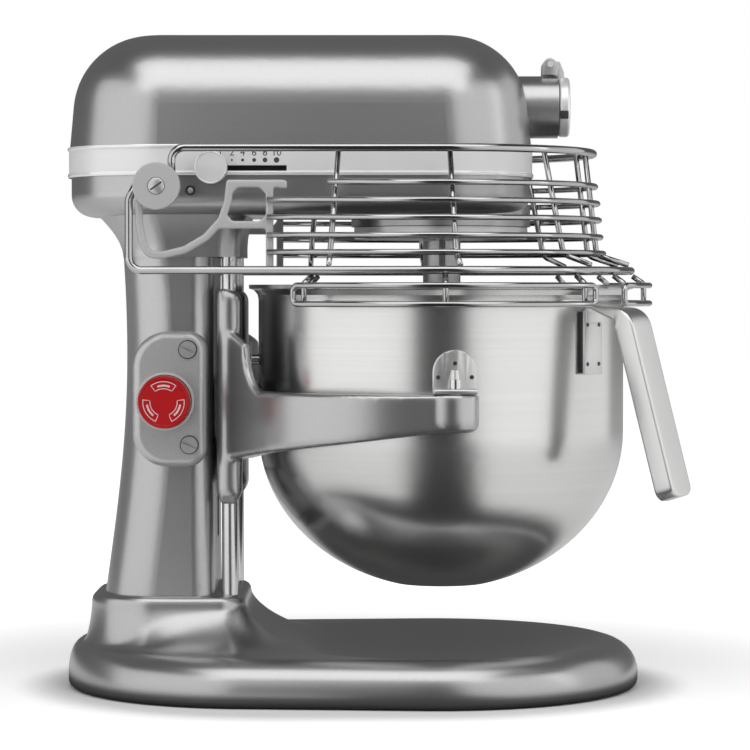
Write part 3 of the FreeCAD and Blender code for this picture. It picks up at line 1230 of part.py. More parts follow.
def guard_skirt():
    """Skirt loops outside the bowl's rim, with their hangers and a gap for the bowl's handle."""
    pieces = []
    for first, last in SKIRT_SPANS:
        pieces.append(skirt_loop(first, last))
        for place in (first + 1, (first + last) / 2, last - 1):
            pieces.append(skirt_hanger(place))
    return Part.makeCompound(pieces)


def guard_bracket():
    """Near side bracket: pivot disc, arc about the pivot, and the bar that the rings end on."""
    sides = (-GUARD_PLATE_Y - GUARD_PLATE, -GUARD_PLATE_Y)
    pivot = (GUARD_PIVOT_X, GUARD_PIVOT_Z)
    disc = rod_y(PIVOT_DISC_R, *sides, *pivot)
    hoop = rod_y(HOOP_OUTER_R, *sides, *pivot).cut(rod_y(HOOP_INNER_R, *sides, *pivot))
    hoop = hoop.common(box(BRACKET_REAR_X, -60, -200, 0, 200, GUARD_PIVOT_Z + 4))
    tab = box(BRACKET_REAR_X, BRACKET_REAR_X + 4, *sides, 281.5, 309)
    spoke = box(BRACKET_REAR_X, GUARD_PIVOT_X - 4, *sides, 304, 311.5)
    top = box(-78, -42, *sides, BRACKET_TOP_Z - 3.5, BRACKET_TOP_Z)
    bar = box(*RING_BAR_X, *sides, RING_BAR_LOW_Z, BRACKET_TOP_Z)
    shelf_outline = [(-84, 297), (RING_BAR_X[1], 297), (RING_BAR_X[1], 302.5), (-80, 302.5)]
    shelf = extruded(polygon([Vector(x, sides[0], z) for x, z in shelf_outline]), Vector(0, GUARD_PLATE, 0))
    body = disc.fuse([hoop, tab, spoke, top, bar, shelf])
    return body.cut(rod_y(STUD_TIP_R + RUNNING_CLEARANCE, -120, -80, *pivot)).removeSplitter()


def guard_pivot_studs():
    """Studs on the head's sides that the guard turns on."""
    tip_y = -GUARD_PLATE_Y - GUARD_PLATE - PIVOT_GAP
    thick = rod_y(STUD_R, -GUARD_PLATE_Y + 0.3, -55, GUARD_PIVOT_X, GUARD_PIVOT_Z)
    thin = rod_y(STUD_TIP_R, tip_y, -80, GUARD_PIVOT_X, GUARD_PIVOT_Z)
    filled = lower_housing_form()
    band = box(-200, 0, -HEAD_HALF_WIDTH - TRIM_PROUD, 0, TRIM_BOTTOM_Z, TRIM_TOP_Z)
    stud = thick.fuse(thin).cut(filled).cut(band).removeSplitter()
    return Part.makeCompound([stud, mirrored(stud)])


def guard_pivot_caps():
    """Flat caps with a slotted screw, outside the guard's brackets."""
    back = -GUARD_PLATE_Y - GUARD_PLATE - PIVOT_GAP
    face = back - GUARD_CAP
    floor = face + 1.5
    pivot = (GUARD_PIVOT_X, GUARD_PIVOT_Z)
    cap = rod_y(GUARD_CAP_R, face, back, *pivot)
    cap = cap.makeFillet(0.8, [e for e in cap.Edges if e.BoundBox.YMax < face + 0.5])
    cap = cap.cut(rod_y(CAP_SCREW_R + 0.4, face - 0.5, floor, *pivot))
    screw = rod_y(CAP_SCREW_R, face + 0.3, floor, *pivot)
    slot = box(GUARD_PIVOT_X - 6, GUARD_PIVOT_X + 6, face - 0.5, face + 1.1,
               GUARD_PIVOT_Z - 0.8, GUARD_PIVOT_Z + 0.8)
    slot.rotate(Vector(GUARD_PIVOT_X, 0, GUARD_PIVOT_Z), Y_AXIS, CAP_SCREW_TURN)
    cap = cap.fuse(screw.cut(slot)).removeSplitter()
    return Part.makeCompound([cap, mirrored(cap)])


NODES = {
    "base_casting": base_casting,
    "rubber_feet": rubber_feet,
    "column_casting": column_casting,
    "column_bolts": column_bolts,
    "cord_gland": cord_gland,
    "head_lower_housing": head_lower_housing,
    "trim_band": trim_band,
    "head_top_cover": head_top_cover,
    "hub_cover": hub_cover,
    "hub_hinge_pin": hub_hinge_pin,
    "hub_bush": hub_bush,
    "hub_spindle": hub_spindle,
    "hub_bevel_pinion": lambda: bevel_pinion(1),
    "attachment_knob": attachment_knob,
    "layshaft": layshaft,
    "layshaft_bevel_pinion": lambda: bevel_pinion(-1),
    "reduction_gear": reduction_gear,
    "bevel_gear": bevel_gear,
    "centre_shaft": centre_shaft,
    "centre_bearings": centre_bearings,
    "motor_shaft": motor_shaft,
    "motor_pinion": motor_pinion,
    "motor_rotor": motor_rotor,
    "motor_stator": motor_stator,
    "motor_fan": motor_fan,
    "motor_bearings": motor_bearings,
    "gearbox_frame": gearbox_frame,
    "control_board": control_board,
    "speed_slider": speed_slider,
    "speed_knob": speed_knob,
    "stop_housing": stop_housing,
    "stop_collar": stop_collar,
    "stop_stem": stop_stem,
    "stop_cap": stop_cap,
    "stop_housing_screws": stop_housing_screws,
    "ring_gear": ring_gear,
    "planet_pinion": planet_pinion,
    "planetary_carrier": planetary_carrier,
    "planetary_trim_ring": planetary_trim_ring,
    "beater_shaft": beater_shaft,
    "beater_drive_pin": beater_drive_pin,
    "flat_beater": flat_beater,
    "bowl": bowl,
    "bowl_ears": bowl_ears,
    "bowl_handle": bowl_handle,
    "bowl_latch": bowl_latch,
    "yoke": yoke,
    "yoke_pins": yoke_pins,
    "lift_rails": lift_rails,
    "lift_shaft": lift_shaft,
    "lift_lever": lift_lever,
    "guard_frame_wire": guard_frame_wire,
    "guard_rings": guard_rings,
    "guard_uprights": guard_uprights,
    "guard_skirt": guard_skirt,
    "guard_bracket_near": guard_bracket,
    "guard_bracket_far": lambda: mirrored(guard_bracket()),
    "guard_pivot_studs": guard_pivot_studs,
    "guard_pivot_caps": guard_pivot_caps,
}

os.makedirs("parts", exist_ok=True)
for node, make in NODES.items():
    shape = make()
    print(node, shape.ShapeType, len(shape.Solids), shape.isValid(), round(shape.Volume / 1000, 2))
    shape.exportStep("parts/" + node + ".step")
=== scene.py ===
"""A bowl-lift stand mixer in satin grey paint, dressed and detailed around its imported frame."""

import logging
import math
from collections.abc import Callable, Sequence
from dataclasses import dataclass
from enum import Enum

import bmesh
import bpy
from mathutils import Matrix, Vector


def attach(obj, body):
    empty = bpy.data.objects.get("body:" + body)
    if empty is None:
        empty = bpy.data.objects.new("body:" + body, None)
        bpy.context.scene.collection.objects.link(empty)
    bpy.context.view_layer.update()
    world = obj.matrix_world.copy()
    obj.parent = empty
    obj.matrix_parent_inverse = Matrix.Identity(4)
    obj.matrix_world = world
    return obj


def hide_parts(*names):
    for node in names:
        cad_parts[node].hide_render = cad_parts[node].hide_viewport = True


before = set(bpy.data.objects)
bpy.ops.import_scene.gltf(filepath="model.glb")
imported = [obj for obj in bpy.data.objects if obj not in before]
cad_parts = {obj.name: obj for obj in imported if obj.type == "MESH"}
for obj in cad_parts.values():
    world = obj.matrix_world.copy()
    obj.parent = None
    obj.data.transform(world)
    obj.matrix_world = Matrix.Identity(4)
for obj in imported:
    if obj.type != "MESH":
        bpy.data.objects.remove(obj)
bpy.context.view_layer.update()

LOG = logging.getLogger("mixer")
MM = 0.001
QUARTER_TURN = 0.5 * math.pi

Pair = tuple[float, float]
Triple = tuple[float, float, float]
Span = tuple[float, float, float, float]


class Wiring:
    """Adds nodes to one node tree and joins them."""

    def __init__(self, tree: bpy.types.NodeTree) -> None:
        """Keeps the tree that the nodes go into."""
        self.tree = tree

    def add(self, kind: str, **settings: object) -> bpy.types.Node:
        """Adds a node.

        Args:
            kind: The node's type name, without the ShaderNode prefix.
            settings: Properties of the node, by name.

        Returns:
            The new node.
        """
        node = self.tree.nodes.new("ShaderNode" + kind)
        for name, value in settings.items():
            setattr(node, name, value)
        return node

    def link(self, source: bpy.types.NodeSocket, target: bpy.types.NodeSocket) -> None:
        """Joins an output to an input."""
        self.tree.links.new(source, target)

    def math(self, operation: str, first: bpy.types.NodeSocket,
             second: bpy.types.NodeSocket | float = 0.0) -> bpy.types.NodeSocket:
        """Adds a Math node.

        Args:
            operation: The sum to do.
            first: The first input's source.
            second: The second input's source, or its plain value.

        Returns:
            The result's socket.
        """
        node = self.add("Math", operation=operation)
        self.link(first, node.inputs[0])
        if isinstance(second, float):
            node.inputs[1].default_value = second
        else:
            self.link(second, node.inputs[1])
        return node.outputs[0]

    def noise(self, point: bpy.types.NodeSocket, scale: bpy.types.NodeSocket | float,
              detail: float) -> bpy.types.NodeSocket:
        """Adds a noise texture.

        Args:
            point: Where the texture is read.
            scale: The noise's scale, as a source or a plain value.
            detail: The number of finer layers.

        Returns:
            The noise value's socket.
        """
        node = self.add("TexNoise")
        node.inputs["Detail"].default_value = detail
        self.link(point, node.inputs["Vector"])
        if isinstance(scale, float):
            node.inputs["Scale"].default_value = scale
        else:
            self.link(scale, node.inputs["Scale"])
        return node.outputs[0]

    def ramp(self, value: bpy.types.NodeSocket, start: float, end: float, low: float = 0.0,
             high: float = 1.0) -> bpy.types.NodeSocket:
        """Adds a smooth step from one result to another.

        Args:
            value: What the step follows.
            start: The value where the step starts.
            end: The value where it ends.
            low: The result up to the start.
            high: The result from the end on.

        Returns:
            The result's socket.
        """
        node = self.add("MapRange", interpolation_type="SMOOTHSTEP")
        for name, setting in (("From Min", start), ("From Max", end), ("To Min", low), ("To Max", high)):
            node.inputs[name].default_value = setting
        self.link(value, node.inputs["Value"])
        return node.outputs[0]


class Pattern(Enum):
    """The surface patterns, each a shader node group of this name."""

    FLAKE = "paint_flake"
    ROUND_BRUSH = "round_brush"
    LONG_BRUSH = "long_brush"
    HAZE = "polish_haze"
    MOULDED = "moulded_grain"
    CAST = "cast_grain"


class PatternShop:
    """Builds each surface pattern's node group once, when a finish first asks for it."""

    def __init__(self) -> None:
        """Starts with no group made."""
        self.made: dict[Pattern, bpy.types.NodeTree] = {}
        self.fillers: dict[Pattern, Callable[[Wiring, bpy.types.Node], tuple]] = {
            Pattern.FLAKE: self.flake,
            Pattern.ROUND_BRUSH: self.round_brush,
            Pattern.LONG_BRUSH: self.long_brush,
            Pattern.HAZE: self.haze,
            Pattern.MOULDED: self.moulded,
            Pattern.CAST: self.cast,
        }

    def get(self, pattern: Pattern) -> bpy.types.NodeTree:
        """Finds or builds a pattern's group.

        Args:
            pattern: The pattern wanted.

        Returns:
            A group with inputs Point and Scale, and outputs Tint, Rough and Height.
        """
        if pattern not in self.made:
            tree = bpy.data.node_groups.new(pattern.value, "ShaderNodeTree")
            tree.interface.new_socket("Point", in_out="INPUT", socket_type="NodeSocketVector")
            tree.interface.new_socket("Scale", in_out="INPUT", socket_type="NodeSocketFloat")
            for name in ("Tint", "Rough", "Height"):
                tree.interface.new_socket(name, in_out="OUTPUT", socket_type="NodeSocketFloat")
            source = tree.nodes.new("NodeGroupInput")
            target = tree.nodes.new("NodeGroupOutput")
            wiring = Wiring(tree)
            for place, socket in enumerate(self.fillers[pattern](wiring, source)):
                wiring.link(socket, target.inputs[place])
            self.made[pattern] = tree
        return self.made[pattern]

    @staticmethod
    def flake(wiring: Wiring, source: bpy.types.Node) -> tuple:
        """Metal flakes under clear paint, with a slow drift and the paint's fine orange peel.

        Args:
            wiring: The group's wiring.
            source: The group's input node.

        Returns:
            The sockets for Tint, Rough and Height.
        """
        point, scale = source.outputs[0], source.outputs[1]
        cells = wiring.add("TexVoronoi")
        wiring.link(point, cells.inputs["Vector"])
        wiring.link(scale, cells.inputs["Scale"])
        bright = wiring.add("SeparateColor")
        wiring.link(cells.outputs["Color"], bright.inputs[0])
        drift = wiring.noise(point, 14.0, 2.0)
        peel = wiring.noise(point, wiring.math("MULTIPLY", scale, 0.3), 2.0)
        tint = wiring.math("MULTIPLY_ADD", bright.outputs[0], 0.6)
        wiring.link(wiring.math("MULTIPLY", drift, 0.4), tint.node.inputs[2])
        return tint, bright.outputs[1], peel

    @staticmethod
    def round_brush(wiring: Wiring, source: bpy.types.Node) -> tuple:
        """Brush lines that run round the pattern's Z axis, as on a spun or turned piece.

        Args:
            wiring: The group's wiring.
            source: The group's input node.

        Returns:
            The sockets for Tint, Rough and Height.
        """
        point, scale = source.outputs[0], source.outputs[1]
        parts = wiring.add("SeparateXYZ")
        wiring.link(point, parts.inputs[0])
        across, along, up = parts.outputs
        radius = wiring.math("SQRT", wiring.math("ADD", wiring.math("MULTIPLY", across, across),
                                                 wiring.math("MULTIPLY", along, along)))
        turned = wiring.add("CombineXYZ")
        wiring.link(wiring.math("MULTIPLY", radius, scale), turned.inputs[0])
        wiring.link(wiring.math("MULTIPLY", up, scale), turned.inputs[1])
        wiring.link(wiring.math("ARCTAN2", along, across), turned.inputs[2])
        fine = wiring.noise(turned.outputs[0], 1.0, 4.0)
        broad = wiring.noise(turned.outputs[0], 0.13, 2.0)
        return broad, fine, fine

    @staticmethod
    def long_brush(wiring: Wiring, source: bpy.types.Node) -> tuple:
        """Brush lines that run along the pattern's X axis.

        Args:
            wiring: The group's wiring.
            source: The group's input node.

        Returns:
            The sockets for Tint, Rough and Height.
        """
        point, scale = source.outputs[0], source.outputs[1]
        squeezed = wiring.add("VectorMath", operation="MULTIPLY")
        wiring.link(point, squeezed.inputs[0])
        squeezed.inputs[1].default_value = (0.02, 1.0, 1.0)
        fine = wiring.noise(squeezed.outputs[0], scale, 3.0)
        broad = wiring.noise(point, 30.0, 2.0)
        return broad, fine, fine

    @staticmethod
    def haze(wiring: Wiring, source: bpy.types.Node) -> tuple:
        """Slow changes in a polished surface, and its hairline marks.

        Args:
            wiring: The group's wiring.
            source: The group's input node.

        Returns:
            The sockets for Tint, Rough and Height.
        """
        point, scale = source.outputs[0], source.outputs[1]
        slow = wiring.noise(point, 22.0, 3.0)
        marks = wiring.noise(point, scale, 5.0)
        return slow, wiring.math("MULTIPLY", slow, marks), marks

    @staticmethod
    def moulded(wiring: Wiring, source: bpy.types.Node) -> tuple:
        """The fine leathery grain of a moulded surface.

        Args:
            wiring: The group's wiring.
            source: The group's input node.

        Returns:
            The sockets for Tint, Rough and Height.
        """
        point, scale = source.outputs[0], source.outputs[1]
        grain = wiring.add("TexVoronoi", feature="SMOOTH_F1")
        wiring.link(point, grain.inputs["Vector"])
        wiring.link(scale, grain.inputs["Scale"])
        slow = wiring.noise(point, 40.0, 3.0)
        return slow, slow, grain.outputs["Distance"]

    @staticmethod
    def cast(wiring: Wiring, source: bpy.types.Node) -> tuple:
        """The mottled skin of a casting or of rolled plate.

        Args:
            wiring: The group's wiring.
            source: The group's input node.

        Returns:
            The sockets for Tint, Rough and Height.
        """
        point, scale = source.outputs[0], source.outputs[1]
        coarse = wiring.noise(point, scale, 6.0)
        fine = wiring.noise(point, wiring.math("MULTIPLY", scale, 4.0), 3.0)
        return coarse, fine, wiring.math("ADD", coarse, fine)


PATTERNS = PatternShop()


@dataclass(frozen=True)
class Finish:
    """One surface finish: two colours that its pattern mixes, its gloss and its relief.

    Colours are linear. The pattern's scale counts its cells or lines in a metre, and relief is the
    height of its bumps in metres.
    """

    name: str
    dark: Triple
    light: Triple
    metallic: float
    rough_low: float
    rough_high: float
    pattern: Pattern
    scale: float
    relief: float
    centre: Triple = (0.0, 0.0, 0.0)
    turn: Triple = (0.0, 0.0, 0.0)
    coat: float = 0.0
    coat_roughness: float = 0.1
    slot: str = ""

    def material(self) -> bpy.types.Material:
        """Finds or makes the finish's material.

        Returns:
            The material, of the finish's name.
        """
        name = "finish_" + self.name
        return bpy.data.materials.get(name) or self.make(name)

    def make(self, name: str) -> bpy.types.Material:
        """Builds the material's nodes.

        Args:
            name: The material's name.

        Returns:
            The new material.
        """
        material = bpy.data.materials.new(name)
        material.use_nodes = True
        wiring = Wiring(material.node_tree)
        shader = material.node_tree.nodes["Principled BSDF"]
        shader.inputs["Metallic"].default_value = self.metallic
        shader.inputs["Coat Weight"].default_value = self.coat
        shader.inputs["Coat Roughness"].default_value = self.coat_roughness
        place = wiring.add("Mapping")
        place.inputs["Location"].default_value = [-value for value in self.centre]
        place.inputs["Rotation"].default_value = self.turn
        wiring.link(wiring.add("TexCoord").outputs["Object"], place.inputs["Vector"])
        pattern = wiring.add("Group", node_tree=PATTERNS.get(self.pattern))
        pattern.inputs["Scale"].default_value = self.scale
        wiring.link(place.outputs[0], pattern.inputs["Point"])
        blend = wiring.add("Mix", data_type="RGBA")
        blend.inputs[6].default_value = (*self.dark, 1.0)
        blend.inputs[7].default_value = (*self.light, 1.0)
        wiring.link(pattern.outputs["Tint"], blend.inputs[0])
        wiring.link(blend.outputs[2], shader.inputs["Base Color"])
        gloss = wiring.add("MapRange")
        gloss.inputs["To Min"].default_value = self.rough_low
        gloss.inputs["To Max"].default_value = self.rough_high
        wiring.link(pattern.outputs["Rough"], gloss.inputs["Value"])
        wiring.link(gloss.outputs[0], shader.inputs["Roughness"])
        bump = wiring.add("Bump")
        bump.inputs["Distance"].default_value = self.relief
        wiring.link(pattern.outputs["Height"], bump.inputs["Height"])
        wiring.link(bump.outputs[0], shader.inputs["Normal"])
        return material


BEATER_AXIS = 57 * MM

PAINT = Finish("grey_paint", (0.40, 0.40, 0.403), (0.47, 0.47, 0.473), 0.92, 0.28, 0.33,
               Pattern.FLAKE, 2600.0, 0.000006, coat=0.10, coat_roughness=0.25)
TRIM = Finish("trim_satin", (0.72, 0.72, 0.72), (0.80, 0.80, 0.80), 0.15, 0.34, 0.44,
              Pattern.LONG_BRUSH, 900.0, 0.00001)
HUB_CHROME = Finish("hub_chrome", (0.74, 0.74, 0.74), (0.82, 0.82, 0.82), 0.40, 0.28, 0.36,
                    Pattern.HAZE, 260.0, 0.000004)
GUARD_CHROME = Finish("guard_chrome", (0.36, 0.36, 0.365), (0.50, 0.50, 0.50), 1.0, 0.08, 0.20,
                      Pattern.HAZE, 300.0, 0.000006)
GUARD_GREY = Finish("guard_grey", (0.42, 0.42, 0.42), (0.50, 0.50, 0.50), 0.2, 0.38, 0.5,
                    Pattern.FLAKE, 2600.0, 0.00002)
STAINLESS = Finish("stainless", (0.58, 0.578, 0.572), (0.64, 0.638, 0.632), 1.0, 0.21, 0.28,
                   Pattern.ROUND_BRUSH, 3600.0, 0.000003, centre=(BEATER_AXIS, 0.0, 0.0))
BRIGHT_STEEL = Finish("bright_steel", (0.54, 0.54, 0.54), (0.64, 0.64, 0.64), 1.0, 0.18, 0.28,
                      Pattern.HAZE, 300.0, 0.000003)
GEAR_STEEL = Finish("gear_steel", (0.36, 0.36, 0.37), (0.52, 0.52, 0.53), 1.0, 0.28, 0.42,
                    Pattern.CAST, 260.0, 0.00002)
CARRIER_ALLOY = Finish("carrier_alloy", (0.40, 0.40, 0.40), (0.52, 0.52, 0.52), 1.0, 0.32, 0.46,
                       Pattern.ROUND_BRUSH, 1500.0, 0.00002, centre=(BEATER_AXIS, 0.0, 0.0))
BEATER_ALLOY = Finish("beater_alloy", (0.48, 0.48, 0.48), (0.62, 0.62, 0.62), 1.0, 0.34, 0.5,
                      Pattern.CAST, 400.0, 0.00004)
BUSH_BRONZE = Finish("bush_bronze", (0.42, 0.27, 0.11), (0.62, 0.43, 0.2), 1.0, 0.3, 0.45,
                     Pattern.CAST, 500.0, 0.00003)
MOTOR_IRON = Finish("motor_iron", (0.14, 0.14, 0.145), (0.24, 0.24, 0.25), 0.8, 0.45, 0.65,
                    Pattern.CAST, 300.0, 0.00008)
BLACK_PLASTIC = Finish("black_plastic", (0.012, 0.012, 0.013), (0.03, 0.03, 0.032), 0.0, 0.4, 0.55,
                       Pattern.MOULDED, 2200.0, 0.00003)
BOARD = Finish("board", (0.02, 0.11, 0.05), (0.05, 0.2, 0.09), 0.0, 0.35, 0.5,
               Pattern.MOULDED, 900.0, 0.00002)
RED_PLASTIC = Finish("red_plastic", (0.38, 0.002, 0.005), (0.47, 0.004, 0.008), 0.0, 0.24, 0.32,
                     Pattern.MOULDED, 300.0, 0.00001)
PALE_PLASTIC = Finish("pale_plastic", (0.56, 0.56, 0.55), (0.68, 0.68, 0.67), 0.0, 0.35, 0.5,
                      Pattern.MOULDED, 1500.0, 0.00002)
BLACK_RUBBER = Finish("black_rubber", (0.010, 0.010, 0.010), (0.022, 0.022, 0.022), 0.0, 0.7, 0.85,
                      Pattern.MOULDED, 1800.0, 0.00006)

HANDLE_STEEL = Finish("stainless_strap", (0.60, 0.60, 0.595), (0.68, 0.68, 0.675), 1.0, 0.30, 0.40,
                      Pattern.LONG_BRUSH, 1200.0, 0.000008, slot="stainless")
TRIM_BRIGHT = Finish("trim_bright", (0.78, 0.78, 0.78), (0.86, 0.86, 0.86), 0.25, 0.16, 0.26,
                     Pattern.HAZE, 240.0, 0.000004, slot="trim_satin")
# Dark marks of the spot welds and rivets, also used as painted shade in the gap behind the handle's plate.
WELD_MARK_AND_GAP_SHADE = Finish("weld_mark_and_gap_shade", (0.05, 0.05, 0.05), (0.13, 0.13, 0.13), 1.0, 0.35, 0.5,
                   Pattern.CAST, 900.0, 0.00002, slot="stainless")
# Dark ink for the printed speed scale, also used as painted shade in screw slots and round screw heads.
INK_AND_PAINTED_SHADE = Finish("scale_ink", (0.035, 0.035, 0.035), (0.07, 0.07, 0.07), 0.0, 0.5, 0.6,
                   Pattern.MOULDED, 1500.0, 0.00001, slot="black_plastic")
KNOB_RIM = Finish("knob_rim", (0.74, 0.74, 0.73), (0.82, 0.82, 0.81), 0.2, 0.25, 0.35,
                  Pattern.HAZE, 300.0, 0.000004, slot="pale_plastic")
SCREW_STEEL = Finish("screw_steel", (0.42, 0.42, 0.42), (0.56, 0.56, 0.56), 0.6, 0.24, 0.36,
                     Pattern.ROUND_BRUSH, 1500.0, 0.000006, slot="bright_steel")
BOX_PAINT = Finish("box_paint", (0.42, 0.42, 0.42), (0.54, 0.54, 0.54), 0.6, 0.32, 0.42,
                   Pattern.FLAKE, 2400.0, 0.00003, slot="grey_paint")
ARROW_INK = Finish("arrow_ink", (0.62, 0.42, 0.42), (0.75, 0.55, 0.55), 0.0, 0.4, 0.5,
                   Pattern.MOULDED, 1500.0, 0.00001, slot="pale_plastic")

SLOT_FINISHES: dict[str, Finish] = {
    finish.name: finish for finish in (
        PAINT, TRIM, HUB_CHROME, GUARD_CHROME, GUARD_GREY, STAINLESS, BRIGHT_STEEL, GEAR_STEEL,
        CARRIER_ALLOY, BEATER_ALLOY, BUSH_BRONZE, MOTOR_IRON, BLACK_PLASTIC, BOARD, RED_PLASTIC,
        PALE_PLASTIC, BLACK_RUBBER)
}


NODE_FINISHES: dict[str, Finish] = {"stop_housing": BOX_PAINT, "stop_housing_screws": SCREW_STEEL}


def dress_frame() -> None:
    """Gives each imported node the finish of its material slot, or its own."""
    for name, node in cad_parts.items():
        for holder in node.material_slots:
            finish = NODE_FINISHES.get(name) or SLOT_FINISHES[holder.material.name.split(".")[0]]
            holder.material = finish.material()
        LOG.info("dressed %s", name)


def add_piece(name: str, shape: bmesh.types.BMesh, finish: Finish, body: str,
              replaced: Sequence[str] = (), crease: float = 35.0) -> bpy.types.Object:
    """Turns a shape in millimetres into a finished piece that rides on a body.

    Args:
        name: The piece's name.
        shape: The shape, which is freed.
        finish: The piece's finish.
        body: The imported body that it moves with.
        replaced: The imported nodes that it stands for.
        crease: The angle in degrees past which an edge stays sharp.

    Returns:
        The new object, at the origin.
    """
    bmesh.ops.scale(shape, vec=(MM, MM, MM), verts=shape.verts)
    bmesh.ops.recalc_face_normals(shape, faces=shape.faces)
    mesh = bpy.data.meshes.new(name)
    shape.to_mesh(mesh)
    shape.free()
    mesh.shade_smooth()
    mesh.set_sharp_from_angle(angle=math.radians(crease))
    mesh.materials.append(finish.material())
    piece = bpy.data.objects.new(name, mesh)
    bpy.context.scene.collection.objects.link(piece)
    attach(piece, body)
    finish.slot or finish.name
    if replaced:
        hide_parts(*replaced)
    LOG.info("built %s, %d faces, on %s", name, len(mesh.polygons), body)
    return piece


def soften(piece: bpy.types.Object, voxel: float, rounds: int) -> None:
    """Welds a piece's overlapping shells into one skin and rounds its corners.

    Args:
        piece: The piece.
        voxel: The size of the skin's cells in millimetres.
        rounds: How often the skin is smoothed.
    """
    weld = piece.modifiers.new("weld", "REMESH")
    weld.mode = "VOXEL"
    weld.voxel_size = voxel * MM
    weld.use_smooth_shade = True
    smooth = piece.modifiers.new("smooth", "SMOOTH")
    smooth.factor = 0.5
    smooth.iterations = rounds


def add_skin(shape: bmesh.types.BMesh, columns: int, rows: int,
             place: Callable[[int, int], Vector], capped: bool = True) -> None:
    """Adds a grid wrapped into a tube, whose columns run round and whose rows run along it.

    Args:
        shape: Where the tube goes.
        columns: The number of faces round it.
        rows: The number of faces along it.
        place: Where the vertex of a column and a row goes.
        capped: Whether the two ends are filled.
    """
    made = bmesh.ops.create_grid(shape, x_segments=columns, y_segments=rows, size=0.5)["verts"]
    for vert in made:
        column = round((vert.co.x + 0.5) * columns) % columns
        row = round((vert.co.y + 0.5) * rows)
        vert.co = place(column, row)
    bmesh.ops.remove_doubles(shape, verts=made, dist=0.0005)
    if capped:
        ends = [edge for edge in shape.edges if edge.is_boundary]
        bmesh.ops.holes_fill(shape, edges=ends, sides=0)


def add_block(shape: bmesh.types.BMesh, low: Triple, high: Triple, edge: float, steps: int = 3) -> None:
    """Adds a block with rounded edges.

    Args:
        shape: Where the block goes.
        low: Its lowest corner.
        high: Its highest corner.
        edge: The radius of its edges.
        steps: The number of faces across each edge.
    """
    verts = bmesh.ops.create_cube(shape, size=1.0)["verts"]
    middle = (Vector(low) + Vector(high)) / 2
    size = Vector(high) - Vector(low)
    bmesh.ops.scale(shape, vec=size, verts=verts)
    bmesh.ops.translate(shape, vec=middle, verts=verts)
    edges = list({line for vert in verts for line in vert.link_edges})
    bmesh.ops.bevel(shape, geom=edges, offset=edge, offset_type="OFFSET", affect="EDGES",
                    segments=steps, profile=0.5, material=-1)


def add_stud(shape: bmesh.types.BMesh, radii: Pair, depth: float, turn: Matrix, place: Triple,
             sides: int = 20) -> None:
    """Adds a short stud, turned from the Z axis and moved to its place.

    Args:
        shape: Where the stud goes.
        radii: Its radius at the foot and at the top.
        depth: Its length.
        turn: Its turn from the Z axis.
        place: Its middle.
        sides: The number of faces round it.
    """
    made = bmesh.ops.create_cone(shape, cap_ends=True, segments=sides, radius1=radii[0], radius2=radii[1],
                                 depth=depth)["verts"]
    bmesh.ops.rotate(shape, cent=(0.0, 0.0, 0.0), verts=made, matrix=turn)
    bmesh.ops.translate(shape, vec=place, verts=made)


def add_ring(shape: bmesh.types.BMesh, section: Sequence[Pair], place: Triple,
             start: float = 0.0, sweep: float = 360.0, steps: int = 48) -> None:
    """Spins a closed section round an axis that points to the near side.

    Args:
        shape: Where the ring goes.
        section: The section's corners, as (radius, depth towards the near side).
        place: The point on the axis where depth is 0.
        start: Where a part ring starts, in degrees from +X towards +Z.
        sweep: How far it turns, in degrees.
        steps: The number of stretches round it.
    """
    ring = bmesh.new()
    begin = math.radians(start)
    verts = [ring.verts.new((radius * math.cos(begin), -depth, radius * math.sin(begin)))
             for radius, depth in section]
    face = ring.faces.new(verts)
    full = sweep >= 360.0
    bmesh.ops.spin(ring, geom=verts + face.edges[:] + [face], cent=(0.0, 0.0, 0.0), axis=(0.0, -1.0, 0.0),
                   angle=math.radians(sweep), steps=steps, use_merge=full)
    if full:
        inside = [face for face in ring.faces if all(not edge.is_manifold for edge in face.edges)]
        bmesh.ops.delete(ring, geom=inside, context="FACES_ONLY")
    bmesh.ops.translate(ring, vec=place, verts=ring.verts)
    join(shape, ring)


def join(target: bmesh.types.BMesh, source: bmesh.types.BMesh) -> None:
    """Copies one shape into another and frees the first."""
    mesh = bpy.data.meshes.new("join")
    source.to_mesh(mesh)
    source.free()
    target.from_mesh(mesh)
    bpy.data.meshes.remove(mesh)


def rounded_line(corners: Sequence[Vector], radius: float, steps: int = 6) -> list[Vector]:
    """Rounds the inner corners of a line.

    Args:
        corners: The line's corner points.
        radius: The radius of the bends.
        steps: The number of stretches in each bend.

    Returns:
        The rounded line's points.
    """
    line = [corners[0].copy()]
    for before, corner, after in zip(corners, corners[1:], corners[2:]):
        back = (before - corner).normalized()
        ahead = (after - corner).normalized()
        half = back.angle(ahead) / 2
        reach = radius / math.tan(half)
        centre = corner + (back + ahead).normalized() * (radius / math.sin(half))
        start = corner + back * reach - centre
        end = corner + ahead * reach - centre
        line += [centre + start.slerp(end, step / steps) * radius for step in range(steps + 1)]
    line.append(corners[-1].copy())
    return line


